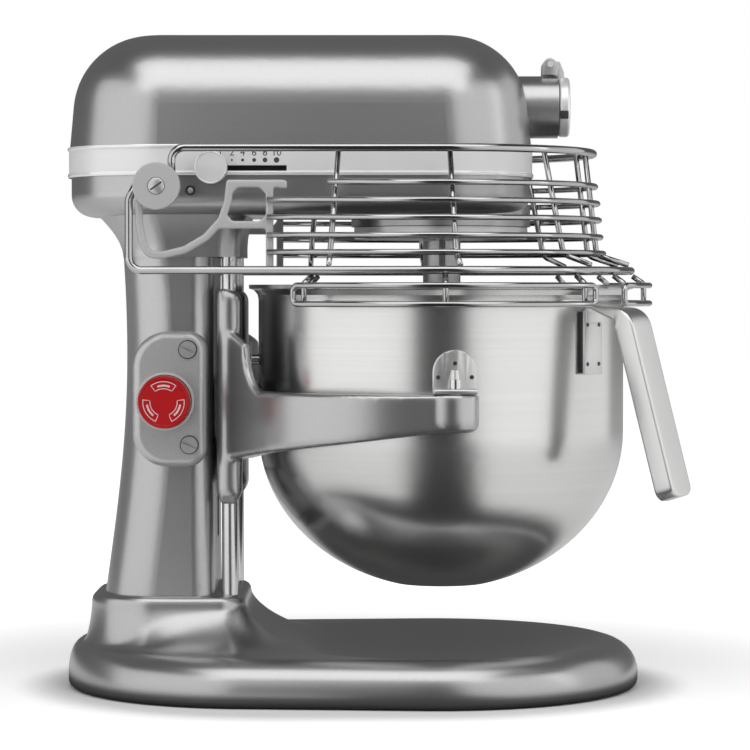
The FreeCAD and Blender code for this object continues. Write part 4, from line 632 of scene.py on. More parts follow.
@dataclass
class BaseCasting:
    """Dished base plate that flows up into the pedestal, in millimetres."""

    front_x: float = 54.0
    front_r: float = 131.0
    rear_x: float = -62.0
    rear_r: float = 122.8
    bottom_z: float = 1.0
    rim_z: float = 29.5
    edge: float = 20.0
    dish_r: float = 113.0
    dish_depth: float = 17.0
    pedestal_middle: float = -118.0
    pedestal_half_length: float = 50.0
    pedestal_half_width: float = 59.0
    pedestal_rear_r: float = 40.0
    pedestal_front_r: float = 16.0
    pedestal_z: float = 62.5
    pedestal_edge: float = 5.5
    pedestal_inset: float = 14.0
    flare_side: float = 42.0
    flare_front: float = 60.0
    spokes: int = 180
    edge_rows: int = 8
    plate_rows: int = 18
    flare_rows: int = 14
    crown_rows: int = 4
    search_reach: float = 400.0
    search_rounds: int = 40

    def plan_gap(self, point: Vector) -> float:
        """How far a point is outside the base's outline, two circles and their common tangents.

        Args:
            point: A point, of which x and y count.

        Returns:
            The distance, negative inside.
        """
        length = self.front_x - self.rear_x
        lean = (self.rear_r - self.front_r) / length
        side = math.sqrt(1 - lean * lean)
        across, along = abs(point.y), point.x - self.rear_x
        reach = -lean * across + side * along
        if reach < 0:
            return math.hypot(across, along) - self.rear_r
        if reach > side * length:
            return math.hypot(across, along - length) - self.front_r
        return side * across + lean * along - self.rear_r

    def pedestal_gap(self, point: Vector) -> float:
        """How far a point is outside the pedestal's outline, a rectangle with round corners.

        Args:
            point: A point, of which x and y count.

        Returns:
            The distance, negative inside.
        """
        along = point.x - self.pedestal_middle
        corner = self.pedestal_rear_r if along < 0 else self.pedestal_front_r
        over_x = abs(along) - self.pedestal_half_length + corner
        over_y = abs(point.y) - self.pedestal_half_width + corner
        outside = math.hypot(max(over_x, 0.0), max(over_y, 0.0))
        return outside + min(max(over_x, over_y), 0.0) - corner

    def meet(self, gap: Callable[[Vector], float], away: Vector, wanted: float) -> Vector:
        """Finds where a level ray from the pedestal's middle reaches a given gap.

        Args:
            gap: The outline's distance function.
            away: The ray's direction.
            wanted: The gap to find.

        Returns:
            The point on the ray.
        """
        start = Vector((self.pedestal_middle, 0.0, 0.0))
        near, far = 0.0, self.search_reach
        for _ in range(self.search_rounds):
            middle = (near + far) / 2
            if gap(start + away * middle) < wanted:
                near = middle
            else:
                far = middle
        return start + away * near

    def plate_height(self, point: Vector) -> float:
        """The height of the plate's top, sunk where the dish is."""
        share = min(1.0, math.hypot(point.x - self.front_x, point.y) / self.dish_r)
        return self.rim_z - self.dish_depth * (1 - share * share) ** 1.4

    def spoke(self, angle: float) -> list[Vector]:
        """The profile over the base from its underside to the pedestal's top, along one ray.

        Args:
            angle: The ray's direction in radians.

        Returns:
            The profile's points, from the underside up.
        """
        away = Vector((math.cos(angle), math.sin(angle), 0.0))
        room = self.pedestal_gap(self.meet(self.plan_gap, away, 0.0))
        edge = min(self.edge, 0.5 * room)
        forward = max(0.0, away.x) ** 2
        flare = min(self.flare_side + (self.flare_front - self.flare_side) * forward, 0.9 * (room - edge))
        shoulder = self.rim_z - self.edge
        points = []
        for inset, height in ((14.0, 5.0), (8.0, 3.0), (2.0, self.bottom_z), (0.5, self.bottom_z + 1.5),
                              (0.0, self.bottom_z + 3)):
            points.append(self.meet(self.plan_gap, away, -inset) + Vector((0.0, 0.0, height)))
        for row in range(self.edge_rows + 1):
            turn = QUARTER_TURN * row / self.edge_rows
            place = self.meet(self.plan_gap, away, -edge * (1 - math.cos(turn)))
            points.append(place + Vector((0.0, 0.0, shoulder + self.edge * math.sin(turn))))
        start = points[-1]
        end = self.meet(self.pedestal_gap, away, flare)
        for row in range(1, self.plate_rows):
            place = start.lerp(end, row / self.plate_rows)
            place.z = self.plate_height(place)
            points.append(place)
        crown = self.pedestal_z - self.pedestal_edge
        for row in range(self.flare_rows + 1):
            turn = QUARTER_TURN * row / self.flare_rows
            place = self.meet(self.pedestal_gap, away, flare * (1 - math.sin(turn)))
            foot = self.plate_height(place)
            place.z = foot + (crown - foot) * (0.5 * (1 - math.cos(turn)) + 0.5 * math.sin(turn) ** 2)
            points.append(place)
        for row in range(1, self.crown_rows + 1):
            turn = QUARTER_TURN * row / self.crown_rows
            place = self.meet(self.pedestal_gap, away, -self.pedestal_edge * (1 - math.cos(turn)))
            points.append(place + Vector((0.0, 0.0, crown + self.pedestal_edge * math.sin(turn))))
        middle = self.meet(self.pedestal_gap, away, -self.pedestal_inset)
        points.append(middle + Vector((0.0, 0.0, self.pedestal_z)))
        return points

    def build(self) -> None:
        """Builds the casting."""
        profiles = [self.spoke(2 * math.pi * column / self.spokes) for column in range(self.spokes)]
        shape = bmesh.new()
        add_skin(shape, self.spokes, len(profiles[0]) - 1, lambda column, row: profiles[column][row])
        add_piece("base_shell", shape, PAINT, "stand", ["base_casting"], 60.0)


@dataclass
class Yoke:
    """Lifting yoke: two sliders, two arms round the bowl, and the plate between them, in millimetres."""

    axis_x: float = 57.0
    inner_r: float = 126.0
    outer_r: float = 140.0
    start_degrees: float = 199.5
    end_x: float = 62.0
    top_z: float = 193.0
    root_z: float = 149.0
    end_z: float = 171.0
    web_end: float = 44.0
    web_reach: float = 21.0
    web_rise: float = 30.0
    web_slope: float = 0.5
    web_depth: float = 6.0
    web_share: float = 0.27
    bulge: float = 9.0
    root_swell: float = 10.0
    root_reach: float = 48.0
    corner: float = 2.5
    boss_x: float = 61.0
    boss_r: float = 131.0
    boss_half: Pair = (16.5, 11.4)
    slider_y: Pair = (37.0, 57.0)
    plate: tuple[Triple, Triple] = ((-83.0, -42.0, 132.0), (-75.0, 42.0, 200.0))
    pad: tuple[Triple, Triple] = ((-77.0, -9.0, 160.0), (-67.7, 9.0, 182.0))
    pin_z: float = 150.0
    tongue_x: Pair = (-112.0, -80.0)
    tongue_root_x: float = -90.3
    tongue_half: float = 10.5
    tongue_slot: float = 5.4
    tongue_side: float = 4.0
    tongue_edge: float = 0.6
    voxel: float = 1.4
    smoothing: int = 7
    arm_rows: int = 70
    corner_steps: int = 4

    def arm_span(self, along: float, length: float) -> Span:
        """The arm's section at a distance from the slider.

        Args:
            along: The distance along the arm.
            length: The arm's length.

        Returns:
            The inner and outer radius, and the lower and upper height.
        """
        low = self.root_z + (self.end_z - self.root_z) * along / length
        swell = self.bulge * math.sin(math.pi * along / length) ** 2
        outer = self.outer_r + swell + self.root_swell * max(0.0, 1 - along / self.root_reach) ** 2
        return self.inner_r + swell, outer, low, self.top_z

    def web_span(self, along: float, length: float) -> Span:
        """The section of the thin web that rises from the arm to the slider.

        Args:
            along: The distance along the arm.
            length: The arm's length.

        Returns:
            The inner and outer radius, and the lower and upper height.
        """
        outer = self.arm_span(along, length)[1] - 0.3
        near = min(1.0, max(0.0, (self.web_end - along) / self.web_reach))
        rise = self.web_rise * (1 - math.sqrt(1 - near * near))
        rise += self.web_slope * max(0.0, self.web_end - self.web_reach - along)
        return outer - self.web_depth, outer, self.top_z - 8.0, self.top_z - 0.5 + rise

    def add_boss(self, shape: bmesh.types.BMesh, side: int) -> None:
        """Adds the rounded boss at the end of an arm, which carries the bowl's ear.

        Args:
            shape: Where the boss goes.
            side: -1 for the near arm and 1 for the far one.
        """
        low = self.end_z - 1.5
        made = bmesh.ops.create_cone(shape, cap_ends=True, segments=40, radius1=1.0, radius2=1.0,
                                     depth=self.top_z - low)["verts"]
        bmesh.ops.scale(shape, vec=(*self.boss_half, 1.0), verts=made)
        bmesh.ops.translate(shape, vec=(self.boss_x, side * self.boss_r, (self.top_z + low) / 2), verts=made)
        under = [edge for vert in made for edge in vert.link_edges
                 if all(end.co.z < low + 0.1 for end in edge.verts)]
        bmesh.ops.bevel(shape, geom=list(set(under)), offset=6.0, offset_type="OFFSET", affect="EDGES",
                        segments=5, profile=0.5, material=-1)

    def add_arm(self, shape: bmesh.types.BMesh, side: int, span: Callable[[float, float], Span],
                share_used: float) -> None:
        """Adds one arm or web, a rounded bar bent round the bowl.

        Args:
            shape: Where the bar goes.
            side: -1 for the near arm and 1 for the far one.
            span: The bar's section at a distance along the arm.
            share_used: The share of the arm's length that the bar takes.
        """
        middle_r = (self.inner_r + self.outer_r) / 2
        start = math.radians(self.start_degrees)
        end = 1.5 * math.pi + math.asin((self.end_x - self.axis_x) / middle_r)
        length = middle_r * (end - start)
        columns = 4 * (self.corner_steps + 1)

        def place(column: int, row: int) -> Vector:
            """A vertex of the arm's skin."""
            share = row / self.arm_rows
            along = length * share * share_used
            inner, outer, low, top = span(along, length)
            corner = min(self.corner, 0.49 * (outer - inner), 0.49 * (top - low))
            quarter, step = divmod(column, self.corner_steps + 1)
            turn = QUARTER_TURN * (quarter + step / self.corner_steps)
            centre_r = (outer - corner) if quarter in (0, 3) else (inner + corner)
            centre_z = (top - corner) if quarter in (0, 1) else (low + corner)
            radius = centre_r + corner * math.cos(turn)
            angle = start + along / middle_r
            return Vector((self.axis_x + radius * math.cos(angle), -side * radius * math.sin(angle),
                           centre_z + corner * math.sin(turn)))

        add_skin(shape, columns, self.arm_rows, place)

    def build(self) -> None:
        """Builds the yoke as one casting with soft inner corners."""
        shape = bmesh.new()
        for side in (-1, 1):
            near, far = sorted(side * y for y in self.slider_y)
            add_block(shape, (-86.0, near, 122.0), (-70.0, far, 256.0), 6.4)
            add_block(shape, (-85.4, near + 2, 236.0), (-76.0, far - 2, 257.0), 3.0)
            add_block(shape, (-84.0, near + 3, 120.5), (-73.0, far - 3, 130.0), 2.0)
            self.add_arm(shape, side, self.arm_span, 1.0)
            self.add_arm(shape, side, self.web_span, self.web_share)
            self.add_boss(shape, side)
        add_block(shape, *self.plate, 2.5)
        add_block(shape, *self.pad, 1.0)
        low, high = self.pin_z - self.tongue_half, self.pin_z + self.tongue_half
        rear, front = self.tongue_x
        for start, under, over in ((rear, low, self.pin_z - self.tongue_slot),
                                   (rear, self.pin_z + self.tongue_slot, high),
                                   (self.tongue_root_x, low, high)):
            add_block(shape, (start, -self.tongue_side, under), (front, self.tongue_side, over),
                      self.tongue_edge)
        yoke = add_piece("yoke_casting", shape, PAINT, "bowl_carriage", ["yoke"], 80.0)
        soften(yoke, self.voxel, self.smoothing)


@dataclass
class BowlFittings:
    """The bowl's strap handle, ear plates, rivets and spot welds, in millimetres."""

    axis_x: float = 57.0
    bowl_r: float = 118.3
    handle_degrees: float = -40.0
    strap_half: float = 11.0
    strap_depth: float = 14.0
    sheet: float = 2.0
    corner: float = 2.2
    end_round: float = 7.0
    plate_gap: float = 3.6
    ear_x: float = 63.0
    ear_half: float = 13.7
    ear_crown: float = 206.0
    ear_low: float = 193.4
    ear_proud: float = 2.6
    ear_sunk: float = 0.6
    shelf_y: float = 140.5
    shelf_z: Pair = (193.3, 196.2)
    rivet_places: tuple[Pair, ...] = ((52.8, 203.0), (63.0, 211.5), (73.2, 203.0))

    def strap_line(self) -> list[Vector]:
        """The strap's outer line, as (distance from the bowl's axis, 0, height)."""
        face = self.bowl_r + self.plate_gap
        corners = [Vector((face, 0.0, 236.0)), Vector((face, 0.0, 247.0)), Vector((156.0, 0.0, 244.5)),
                   Vector((190.0, 0.0, 131.0))]
        line = rounded_line(corners[:3], 4.0, 6)[:-1] + rounded_line(corners[1:], 15.5, 12)[1:]
        tail, end = line[-2], line[-1]
        back = (tail - end).normalized() * self.end_round
        straight = [tail.lerp(end + back, step / 14) for step in range(1, 15)]
        tip = [end + back * (1 - math.sin(QUARTER_TURN * step / 6)) for step in range(1, 7)]
        return line[:-1] + straight + tip

    def strap(self) -> None:
        """Builds the handle: a deep pressed strap with soft edges, thin where it leaves the bowl."""
        line = self.strap_line()
        rows = len(line) - 1
        steps = 4
        columns = 4 * (steps + 1)
        reach = [0.0]
        for before, after in zip(line, line[1:]):
            reach.append(reach[-1] + (after - before).length)

        def place(column: int, row: int) -> Vector:
            """A vertex of the strap's skin."""
            before, after = line[max(row - 1, 0)], line[min(row + 1, rows)]
            along = (after - before).normalized()
            inward = Vector((-along.z, 0.0, along.x)) * -1.0
            grow = min(1.0, max(0.0, (reach[row] - 26.0) / 12.0))
            depth = self.sheet + (self.strap_depth - self.sheet) * grow * grow * (3 - 2 * grow)
            over = max(0.0, self.end_round - (reach[-1] - reach[row]))
            half = self.strap_half - self.end_round + math.sqrt(self.end_round ** 2 - over ** 2)
            half -= 1.5 * max(0.0, 1 - reach[row] / 30.0)
            corner = min(self.corner, 0.45 * depth)
            quarter, step = divmod(column, steps + 1)
            turn = QUARTER_TURN * (quarter + step / steps)
            across = (half - corner) * (1 if quarter in (0, 3) else -1) + corner * math.cos(turn)
            down = (corner if quarter in (0, 1) else depth - corner) - corner * math.sin(turn)
            point = line[row] + inward * down
            return Vector((point.x, across, point.z))

        shape = bmesh.new()
        add_skin(shape, columns, rows, place)
        face = self.bowl_r + self.plate_gap
        add_block(shape, (face - 1.5, -9.5, 203.5), (face, 9.5, 243.5), 0.6, 2)
        self.turn_to_handle(shape)
        add_piece("handle_strap", shape, HANDLE_STEEL, "bowl_carriage", ["bowl_handle"], 40.0)
        # A dark block behind the handle's plate: painted shade in the gap between the plate and the bowl.
        gap = bmesh.new()
        add_block(gap, (self.bowl_r - 1.5, -8.6, 204.5), (face - 1.4, 8.6, 242.5), 0.5, 2)
        self.turn_to_handle(gap)
        add_piece("handle_plate_gap_shade", gap, WELD_MARK_AND_GAP_SHADE, "bowl_carriage")

    def turn_to_handle(self, shape: bmesh.types.BMesh) -> None:
        """Turns a shape made at the bowl's +X side to the handle's place."""
        turn = Matrix.Rotation(math.radians(self.handle_degrees), 3, "Z")
        bmesh.ops.rotate(shape, cent=(0.0, 0.0, 0.0), matrix=turn, verts=shape.verts)
        bmesh.ops.translate(shape, vec=(self.axis_x, 0.0, 0.0), verts=shape.verts)

    def welds(self) -> None:
        """Adds the four dark spot welds of the handle's plate."""
        shape = bmesh.new()
        turn = Matrix.Rotation(QUARTER_TURN, 3, "Y")
        face = self.bowl_r + self.plate_gap
        for across in (-6.0, 6.0):
            for height in (210.0, 234.5):
                add_stud(shape, (1.5, 1.1), 0.5, turn, (face + 0.1, across, height))
        self.turn_to_handle(shape)
        add_piece("handle_spot_welds", shape, WELD_MARK_AND_GAP_SHADE, "bowl_carriage")

    def ears(self) -> None:
        """Builds the ear plates: D shapes bent to the bowl, each with a shelf and a raised rib."""
        shape = bmesh.new()
        rear, front = self.ear_x - self.ear_half, self.ear_x + self.ear_half
        for side in (-1, 1):
            plate = bmesh.new()
            arch = [(self.ear_x + self.ear_half * math.cos(math.pi * step / 24),
                     self.ear_crown + self.ear_half * math.sin(math.pi * step / 24)) for step in range(25)]
            corners = arch + [(rear, self.ear_low), (front, self.ear_low)]
            plate.faces.new([plate.verts.new((x, 0.0, z)) for x, z in corners])
            for step in range(1, 8):
                cut = (rear + 2 * self.ear_half * step / 8, 0.0, 0.0)
                bmesh.ops.bisect_plane(plate, geom=plate.verts[:] + plate.edges[:] + plate.faces[:],
                                       plane_co=cut, plane_no=(1.0, 0.0, 0.0))
            raised = bmesh.ops.extrude_face_region(plate, geom=plate.faces[:])["geom"]
            outer = {item for item in raised if isinstance(item, bmesh.types.BMVert)}
            rim = [edge for edge in plate.edges
                   if sum(all(vert in outer for vert in face.verts) for face in edge.link_faces) == 1]
            for vert in plate.verts:
                radius = self.bowl_r + (self.ear_proud if vert in outer else -self.ear_sunk)
                vert.co.y = side * math.sqrt(radius ** 2 - (vert.co.x - self.axis_x) ** 2)
            bmesh.ops.bevel(plate, geom=rim, offset=0.9, offset_type="OFFSET", affect="EDGES", segments=3,
                            profile=0.5, material=-1)
            join(shape, plate)
            near, far = sorted((side * (self.bowl_r - 0.5), side * self.shelf_y))
            add_block(shape, (rear, near, self.shelf_z[0]), (front, far, self.shelf_z[1]), 1.0)
            rib = bmesh.ops.create_cone(shape, cap_ends=True, segments=24, radius1=4.8, radius2=2.6,
                                        depth=11.5)["verts"]
            bmesh.ops.translate(shape, vec=(self.ear_x, side * (self.bowl_r + 2.4), 201.5), verts=rib)
        add_piece("ear_plates", shape, HANDLE_STEEL, "bowl_carriage", ["bowl_ears"])

    def rivets(self) -> None:
        """Adds three dark rivets to each ear plate."""
        shape = bmesh.new()
        for side in (-1, 1):
            turn = Matrix.Rotation(-side * QUARTER_TURN, 3, "X")
            for x, height in self.rivet_places:
                face = math.sqrt((self.bowl_r + self.ear_proud) ** 2 - (x - self.axis_x) ** 2)
                add_stud(shape, (1.4, 1.0), 0.7, turn, (x, side * (face + 0.2), height))
        add_piece("ear_rivets", shape, WELD_MARK_AND_GAP_SHADE, "bowl_carriage")

    def build(self) -> None:
        """Builds the bowl's fittings."""
        self.strap()
        self.welds()
        self.ears()
        self.rivets()


@dataclass
class HeadTrim:
    """The trim band's bright edge beads, its speed scale and a dark sheet in its slot that paints the slot's
    shade, in millimetres.
    """

    rear_x: float = -183.1
    front_x: float = 115.6
    half_width: float = 67.6
    rear_r: float = 60.0
    front_r: float = 55.0
    band_low: float = 328.0
    band_high: float = 347.3
    corner_steps: int = 14
    numbers: tuple[tuple[str, float], ...] = (
        ("1", -82.5), ("2", -75.3), ("4", -68.5), ("6", -61.3), ("8", -54.5), ("10", -47.3))
    number_size: float = 6.2
    number_z: float = 340.2
    dot_z: float = 337.4
    dot_r: float = 0.65
    dot_growth: float = 0.27
    lining: tuple[Triple, Triple] = ((-100.0, -56.6, 322.0), (-35.0, -55.6, 344.0))

    def outline(self, proud: float) -> list[Vector]:
        """The band's level outline, pushed out.

        Args:
            proud: How far outside the band's face it lies.

        Returns:
            The points of the closed outline at height 0.
        """
        points = []
        for x, y, radius, start in (
                (self.rear_x + self.rear_r, -self.half_width + self.rear_r, self.rear_r, 180),
                (self.front_x - self.front_r, -self.half_width + self.front_r, self.front_r, 270),
                (self.front_x - self.front_r, self.half_width - self.front_r, self.front_r, 0),
                (self.rear_x + self.rear_r, self.half_width - self.rear_r, self.rear_r, 90)):
            for step in range(self.corner_steps + 1):
                angle = math.radians(start + 90 * step / self.corner_steps)
                reach = radius + proud
                points.append(Vector((x + reach * math.cos(angle), y + reach * math.sin(angle), 0.0)))
        return points

    def bead(self, name: str, low: float, high: float, proud: float, finish: Finish) -> None:
        """Builds a rounded bead round the head.

        Args:
            name: The piece's name.
            low: Its lower height.
            high: Its upper height.
            proud: How far it stands out of the band.
            finish: Its finish.
        """
        section = [(-1.0, low), (proud * 0.6, low), (proud, low + 0.3 * (high - low)),
                   (proud, low + 0.7 * (high - low)), (proud * 0.6, high), (-1.0, high)]
        loops = [self.outline(out) for out, _ in section]
        count = len(loops[0])

        def place(column: int, row: int) -> Vector:
            """A vertex of the bead's skin."""
            return loops[column][row % count] + Vector((0.0, 0.0, section[column][1]))

        shape = bmesh.new()
        add_skin(shape, len(section), count, place, capped=False)
        add_piece(name, shape, finish, "stand", (), 50.0)

    def scale(self) -> None:
        """Builds the speed scale: plain numbers and growing dots over the slot."""
        face = -self.half_width - 0.05
        turn = Matrix.Rotation(QUARTER_TURN, 3, "X")
        shape = bmesh.new()
        for text, x in self.numbers:
            curve = bpy.data.curves.new("scale_" + text, "FONT")
            curve.body = text
            curve.size = self.number_size
            curve.align_x = "CENTER"
            curve.extrude = 0.05
            holder = bpy.data.objects.new("scale_" + text, curve)
            mesh = bpy.data.meshes.new_from_object(holder)
            bpy.data.objects.remove(holder)
            bpy.data.curves.remove(curve)
            before = set(shape.verts)
            shape.from_mesh(mesh)
            bpy.data.meshes.remove(mesh)
            verts = [vert for vert in shape.verts if vert not in before]
            bmesh.ops.rotate(shape, cent=(0.0, 0.0, 0.0), verts=verts, matrix=turn)
            bmesh.ops.translate(shape, vec=(x, face, self.number_z), verts=verts)
        for place, (_, x) in enumerate(self.numbers[1:]):
            radius = self.dot_r + self.dot_growth * place
            add_stud(shape, (radius, radius), 0.1, turn, (x, face, self.dot_z))
        add_piece("speed_scale", shape, INK_AND_PAINTED_SHADE, "stand")

    def slot_lining(self) -> None:
        """Builds a dark sheet behind the speed slot, painted shade for the slot's depth."""
        shape = bmesh.new()
        add_block(shape, *self.lining, 0.3, 1)
        add_piece("speed_slot_shade_sheet", shape, BLACK_PLASTIC, "stand")

    def build(self) -> None:
        """Builds the band's details."""
        self.bead("trim_bead_top", self.band_high - 2.2, self.band_high, 0.9, TRIM_BRIGHT)
        self.bead("trim_bead_low", self.band_low, self.band_low + 2.6, 0.8, TRIM_BRIGHT)
        self.scale()
        self.slot_lining()


@dataclass
class StopButton:
    """Raised ring and outlined curved arrows on the red turn cap, in millimetres."""

    axis: Triple = (-117.2, -83.0, 186.3)
    ring: Pair = (14.2, 15.9)
    arrow: Pair = (8.2, 12.6)
    line: float = 0.55
    bar_half: float = 0.6
    relief: Pair = (-0.1, 0.12)
    starts: Triple = (52.0, 172.0, 292.0)

    def stroke(self, low: float, high: float) -> list[Pair]:
        """The section of a thin raised line between two radii."""
        under, over = self.relief
        return [(low, under), (high, under), (high, over), (low, over)]

    def build(self) -> None:
        """Builds the ring and the arrows."""
        low, high = self.ring
        shape = bmesh.new()
        add_ring(shape, [(low, -0.4), (high, -0.4), (high, 0.4), (high - 0.4, 0.8), (low + 0.4, 0.8),
                         (low, 0.4)], self.axis, steps=64)
        add_piece("stop_cap_ring", shape, RED_PLASTIC, "stop_cap")
        arrows = bmesh.new()
        inner, outer = self.arrow
        middle = (inner + outer) / 2
        for start in self.starts:
            for radius in (inner, outer):
                add_ring(arrows, self.stroke(radius, radius + self.line), self.axis, start, 76.0, 14)
            for turn in (start, start + 74.0):
                add_ring(arrows, self.stroke(inner, outer), self.axis, turn, 2.4, 1)
            bar = self.stroke(middle - self.bar_half, middle + self.bar_half)
            add_ring(arrows, bar, self.axis, start + 16.0, 44.0, 8)
        add_piece("stop_arrows", arrows, ARROW_INK, "stop_cap")


@dataclass
class HeadFittings:
    """Small fittings on the head, the stop button's box and the hub cover, in millimetres."""

    knob: Triple = (-88.0, -80.0, 332.4)
    knob_r: float = 10.2
    pivot: Triple = (-120.0, -104.2, 320.0)
    screw_r: float = 5.0
    housing_screw: Triple = (-101.3, -66.4, 318.5)
    box_face: float = -68.0
    box_screws: tuple[Pair, ...] = ((-103.1, 218.8), (-102.2, 159.0))
    cover_stop: tuple[Triple, Triple] = ((133.4, -19.7, 366.0), (138.6, -17.5, 371.2))
    slot_degrees: float = -35.0

    def build(self) -> None:
        """Builds the fittings."""
        rim = bmesh.new()
        add_ring(rim, [(self.knob_r - 1.0, -0.3), (self.knob_r - 0.1, -0.3), (self.knob_r - 0.1, 0.2),
                       (self.knob_r - 0.5, 0.5), (self.knob_r - 1.0, 0.2)], self.knob)
        add_piece("speed_knob_rim", rim, KNOB_RIM, "speed_lever")
        screws = bmesh.new()
        slots = bmesh.new()
        for side in (-1, 1):
            disc = bmesh.new()
            add_ring(disc, [(0.001, -0.3), (self.screw_r, -0.3), (self.screw_r, 0.3),
                            (self.screw_r - 0.6, 0.7), (0.001, 0.7)], self.pivot)
            # A thin dark bar on each pivot screw's face: painted shade standing in for the screw's slot.
            bar = bmesh.new()
            add_block(bar, (-4.2, -0.1, -0.55), (4.2, 0.1, 0.55), 0.05, 1)
            bmesh.ops.rotate(bar, cent=(0.0, 0.0, 0.0), verts=bar.verts,
                             matrix=Matrix.Rotation(math.radians(self.slot_degrees), 3, "Y"))
            bmesh.ops.translate(bar, vec=Vector(self.pivot) + Vector((0.0, -0.72, 0.0)), verts=bar.verts)
            for made, target in ((disc, screws), (bar, slots)):
                if side > 0:
                    bmesh.ops.scale(made, vec=(1.0, -1.0, 1.0), verts=made.verts)
                join(target, made)
        # Dark rings round the stop box's screws: painted shade where each screw head meets the box.
        rings = bmesh.new()
        for x, z in self.box_screws:
            add_ring(rings, [(5.3, -0.6), (6.0, -0.6), (6.0, 0.15), (5.3, 0.15)], (x, self.box_face, z),
                     steps=32)
        add_piece("stop_screw_shade_rings", rings, INK_AND_PAINTED_SHADE, "stand")
        add_piece("pivot_screws", screws, SCREW_STEEL, "stand")
        add_piece("pivot_screw_slot_shade", slots, INK_AND_PAINTED_SHADE, "stand")
        mark = bmesh.new()
        add_block(mark, *self.cover_stop, 0.4, 2)
        add_piece("hub_cover_stop", mark, BLACK_PLASTIC, "hub_cover")
        cup = bmesh.new()
        add_ring(cup, [(1.9, -1.5), (3.2, -1.5), (3.2, 0.6), (2.7, 1.0), (1.9, 0.6)], self.housing_screw,
                 steps=32)
        add_piece("housing_screw_cup", cup, BLACK_PLASTIC, "stand")
        head = bmesh.new()
        add_ring(head, [(0.001, -1.5), (1.95, -1.5), (1.95, 0.1), (1.2, 0.6), (0.001, 0.6)],
                 self.housing_screw, steps=32)
        add_piece("housing_screw", head, SCREW_STEEL, "stand")


@dataclass
class HubHinge:
    """Rounded hinge ears on the accessory hub, in place of the top cover's square ones, in millimetres."""

    pin_x: float = 127.4
    round_z: float = 400.1
    round_r: float = 5.1
    root_z: float = 391.0
    ear_region: tuple[Triple, Triple] = ((121.4, -9.5, 390.0), (133.4, 9.5, 410.0))
    ear_plane: tuple[Triple, Triple] = ((127.4, 0.0, 394.9), (0.0, 0.0, 1.0))
    strap_region: tuple[Triple, Triple] = ((132.0, -5.0, 394.0), (141.0, 5.0, 410.0))
    strap_plane: tuple[Triple, Triple] = ((133.2, 0.0, 405.0), (11.0, 0.0, 4.5))
    sides: Pair = (5.0, 9.0)
    edge: float = 0.6
    steps: int = 20
    rim_gap: float = 0.01
    merge_gap: float = 0.002

    def build(self) -> None:
        """Builds the covers without their square corners, and the rounded ears."""
        self.trimmed("head_top_cover", "stand", self.ear_region, self.ear_plane)
        self.trimmed("hub_cover", "hub_cover", self.strap_region, self.strap_plane)
        ears = bmesh.new()
        for side in (-1, 1):
            ear = bmesh.new()
            turns = [math.pi * step / self.steps for step in range(self.steps + 1)]
            line = [(self.pin_x + self.round_r, self.root_z)]
            line += [(self.pin_x + self.round_r * math.cos(turn),
                      self.round_z + self.round_r * math.sin(turn)) for turn in turns]
            line += [(self.pin_x - self.round_r, self.root_z)]
            inner, outer = self.sides
            face = ear.faces.new([ear.verts.new((x, side * inner, z)) for x, z in line])
            raised = bmesh.ops.extrude_face_region(ear, geom=[face])["geom"]
            bmesh.ops.translate(ear, vec=(0.0, side * (outer - inner), 0.0),
                                verts=[item for item in raised if isinstance(item, bmesh.types.BMVert)])
            bmesh.ops.recalc_face_normals(ear, faces=ear.faces)
            sharp = [item for item in ear.edges if item.calc_face_angle(0.0) > 1.0]
            bmesh.ops.bevel(ear, geom=sharp, offset=self.edge, segments=3, affect="EDGES", profile=0.5,
                            material=-1)
            join(ears, ear)
        add_piece("hub_hinge_ears", ears, SCREW_STEEL, "stand")

    def trimmed(self, node: str, body: str, region: tuple[Triple, Triple],
                plane: tuple[Triple, Triple]) -> None:
        """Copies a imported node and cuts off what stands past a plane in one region.

        Only the cut's rim is merged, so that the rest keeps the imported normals.

        Args:
            node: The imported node, which the copy stands for.
            body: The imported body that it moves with.
            region: The lowest and highest corner of where points are cut off.
            plane: A point of the plane and the direction that is cut off.
        """
        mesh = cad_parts[node].data.copy()
        mesh.name = node + "_trimmed"
        shape = bmesh.new()
        shape.from_mesh(mesh)
        low, high = (Vector(corner) * MM for corner in region)
        foot, away = Vector(plane[0]) * MM, Vector(plane[1]).normalized()
        past = {point for point in shape.verts if (point.co - foot).dot(away) > 0
                and all(low[axis] < point.co[axis] < high[axis] for axis in range(3))}
        faces = [face for face in shape.faces if any(point in past for point in face.verts)]
        near = {item for face in faces for item in (*face.verts, *face.edges, face)}
        bmesh.ops.bisect_plane(shape, geom=list(near), plane_co=foot, plane_no=away, clear_outer=True)
        rim = [point for point in shape.verts if point.is_boundary
               and abs((point.co - foot).dot(away)) < self.rim_gap * MM]
        bmesh.ops.remove_doubles(shape, verts=rim, dist=self.merge_gap * MM)
        rim = {point for point in shape.verts if abs((point.co - foot).dot(away)) < self.rim_gap * MM}
        bmesh.ops.holes_fill(shape, edges=[item for item in shape.edges if item.is_boundary
                                           and all(point in rim for point in item.verts)])
        shape.to_mesh(mesh)
        shape.free()
        piece = bpy.data.objects.new(mesh.name, mesh)
        bpy.context.scene.collection.objects.link(piece)
        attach(piece, body)
        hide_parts(node)
        LOG.info("built %s, %d faces, on %s", piece.name, len(mesh.polygons), body)


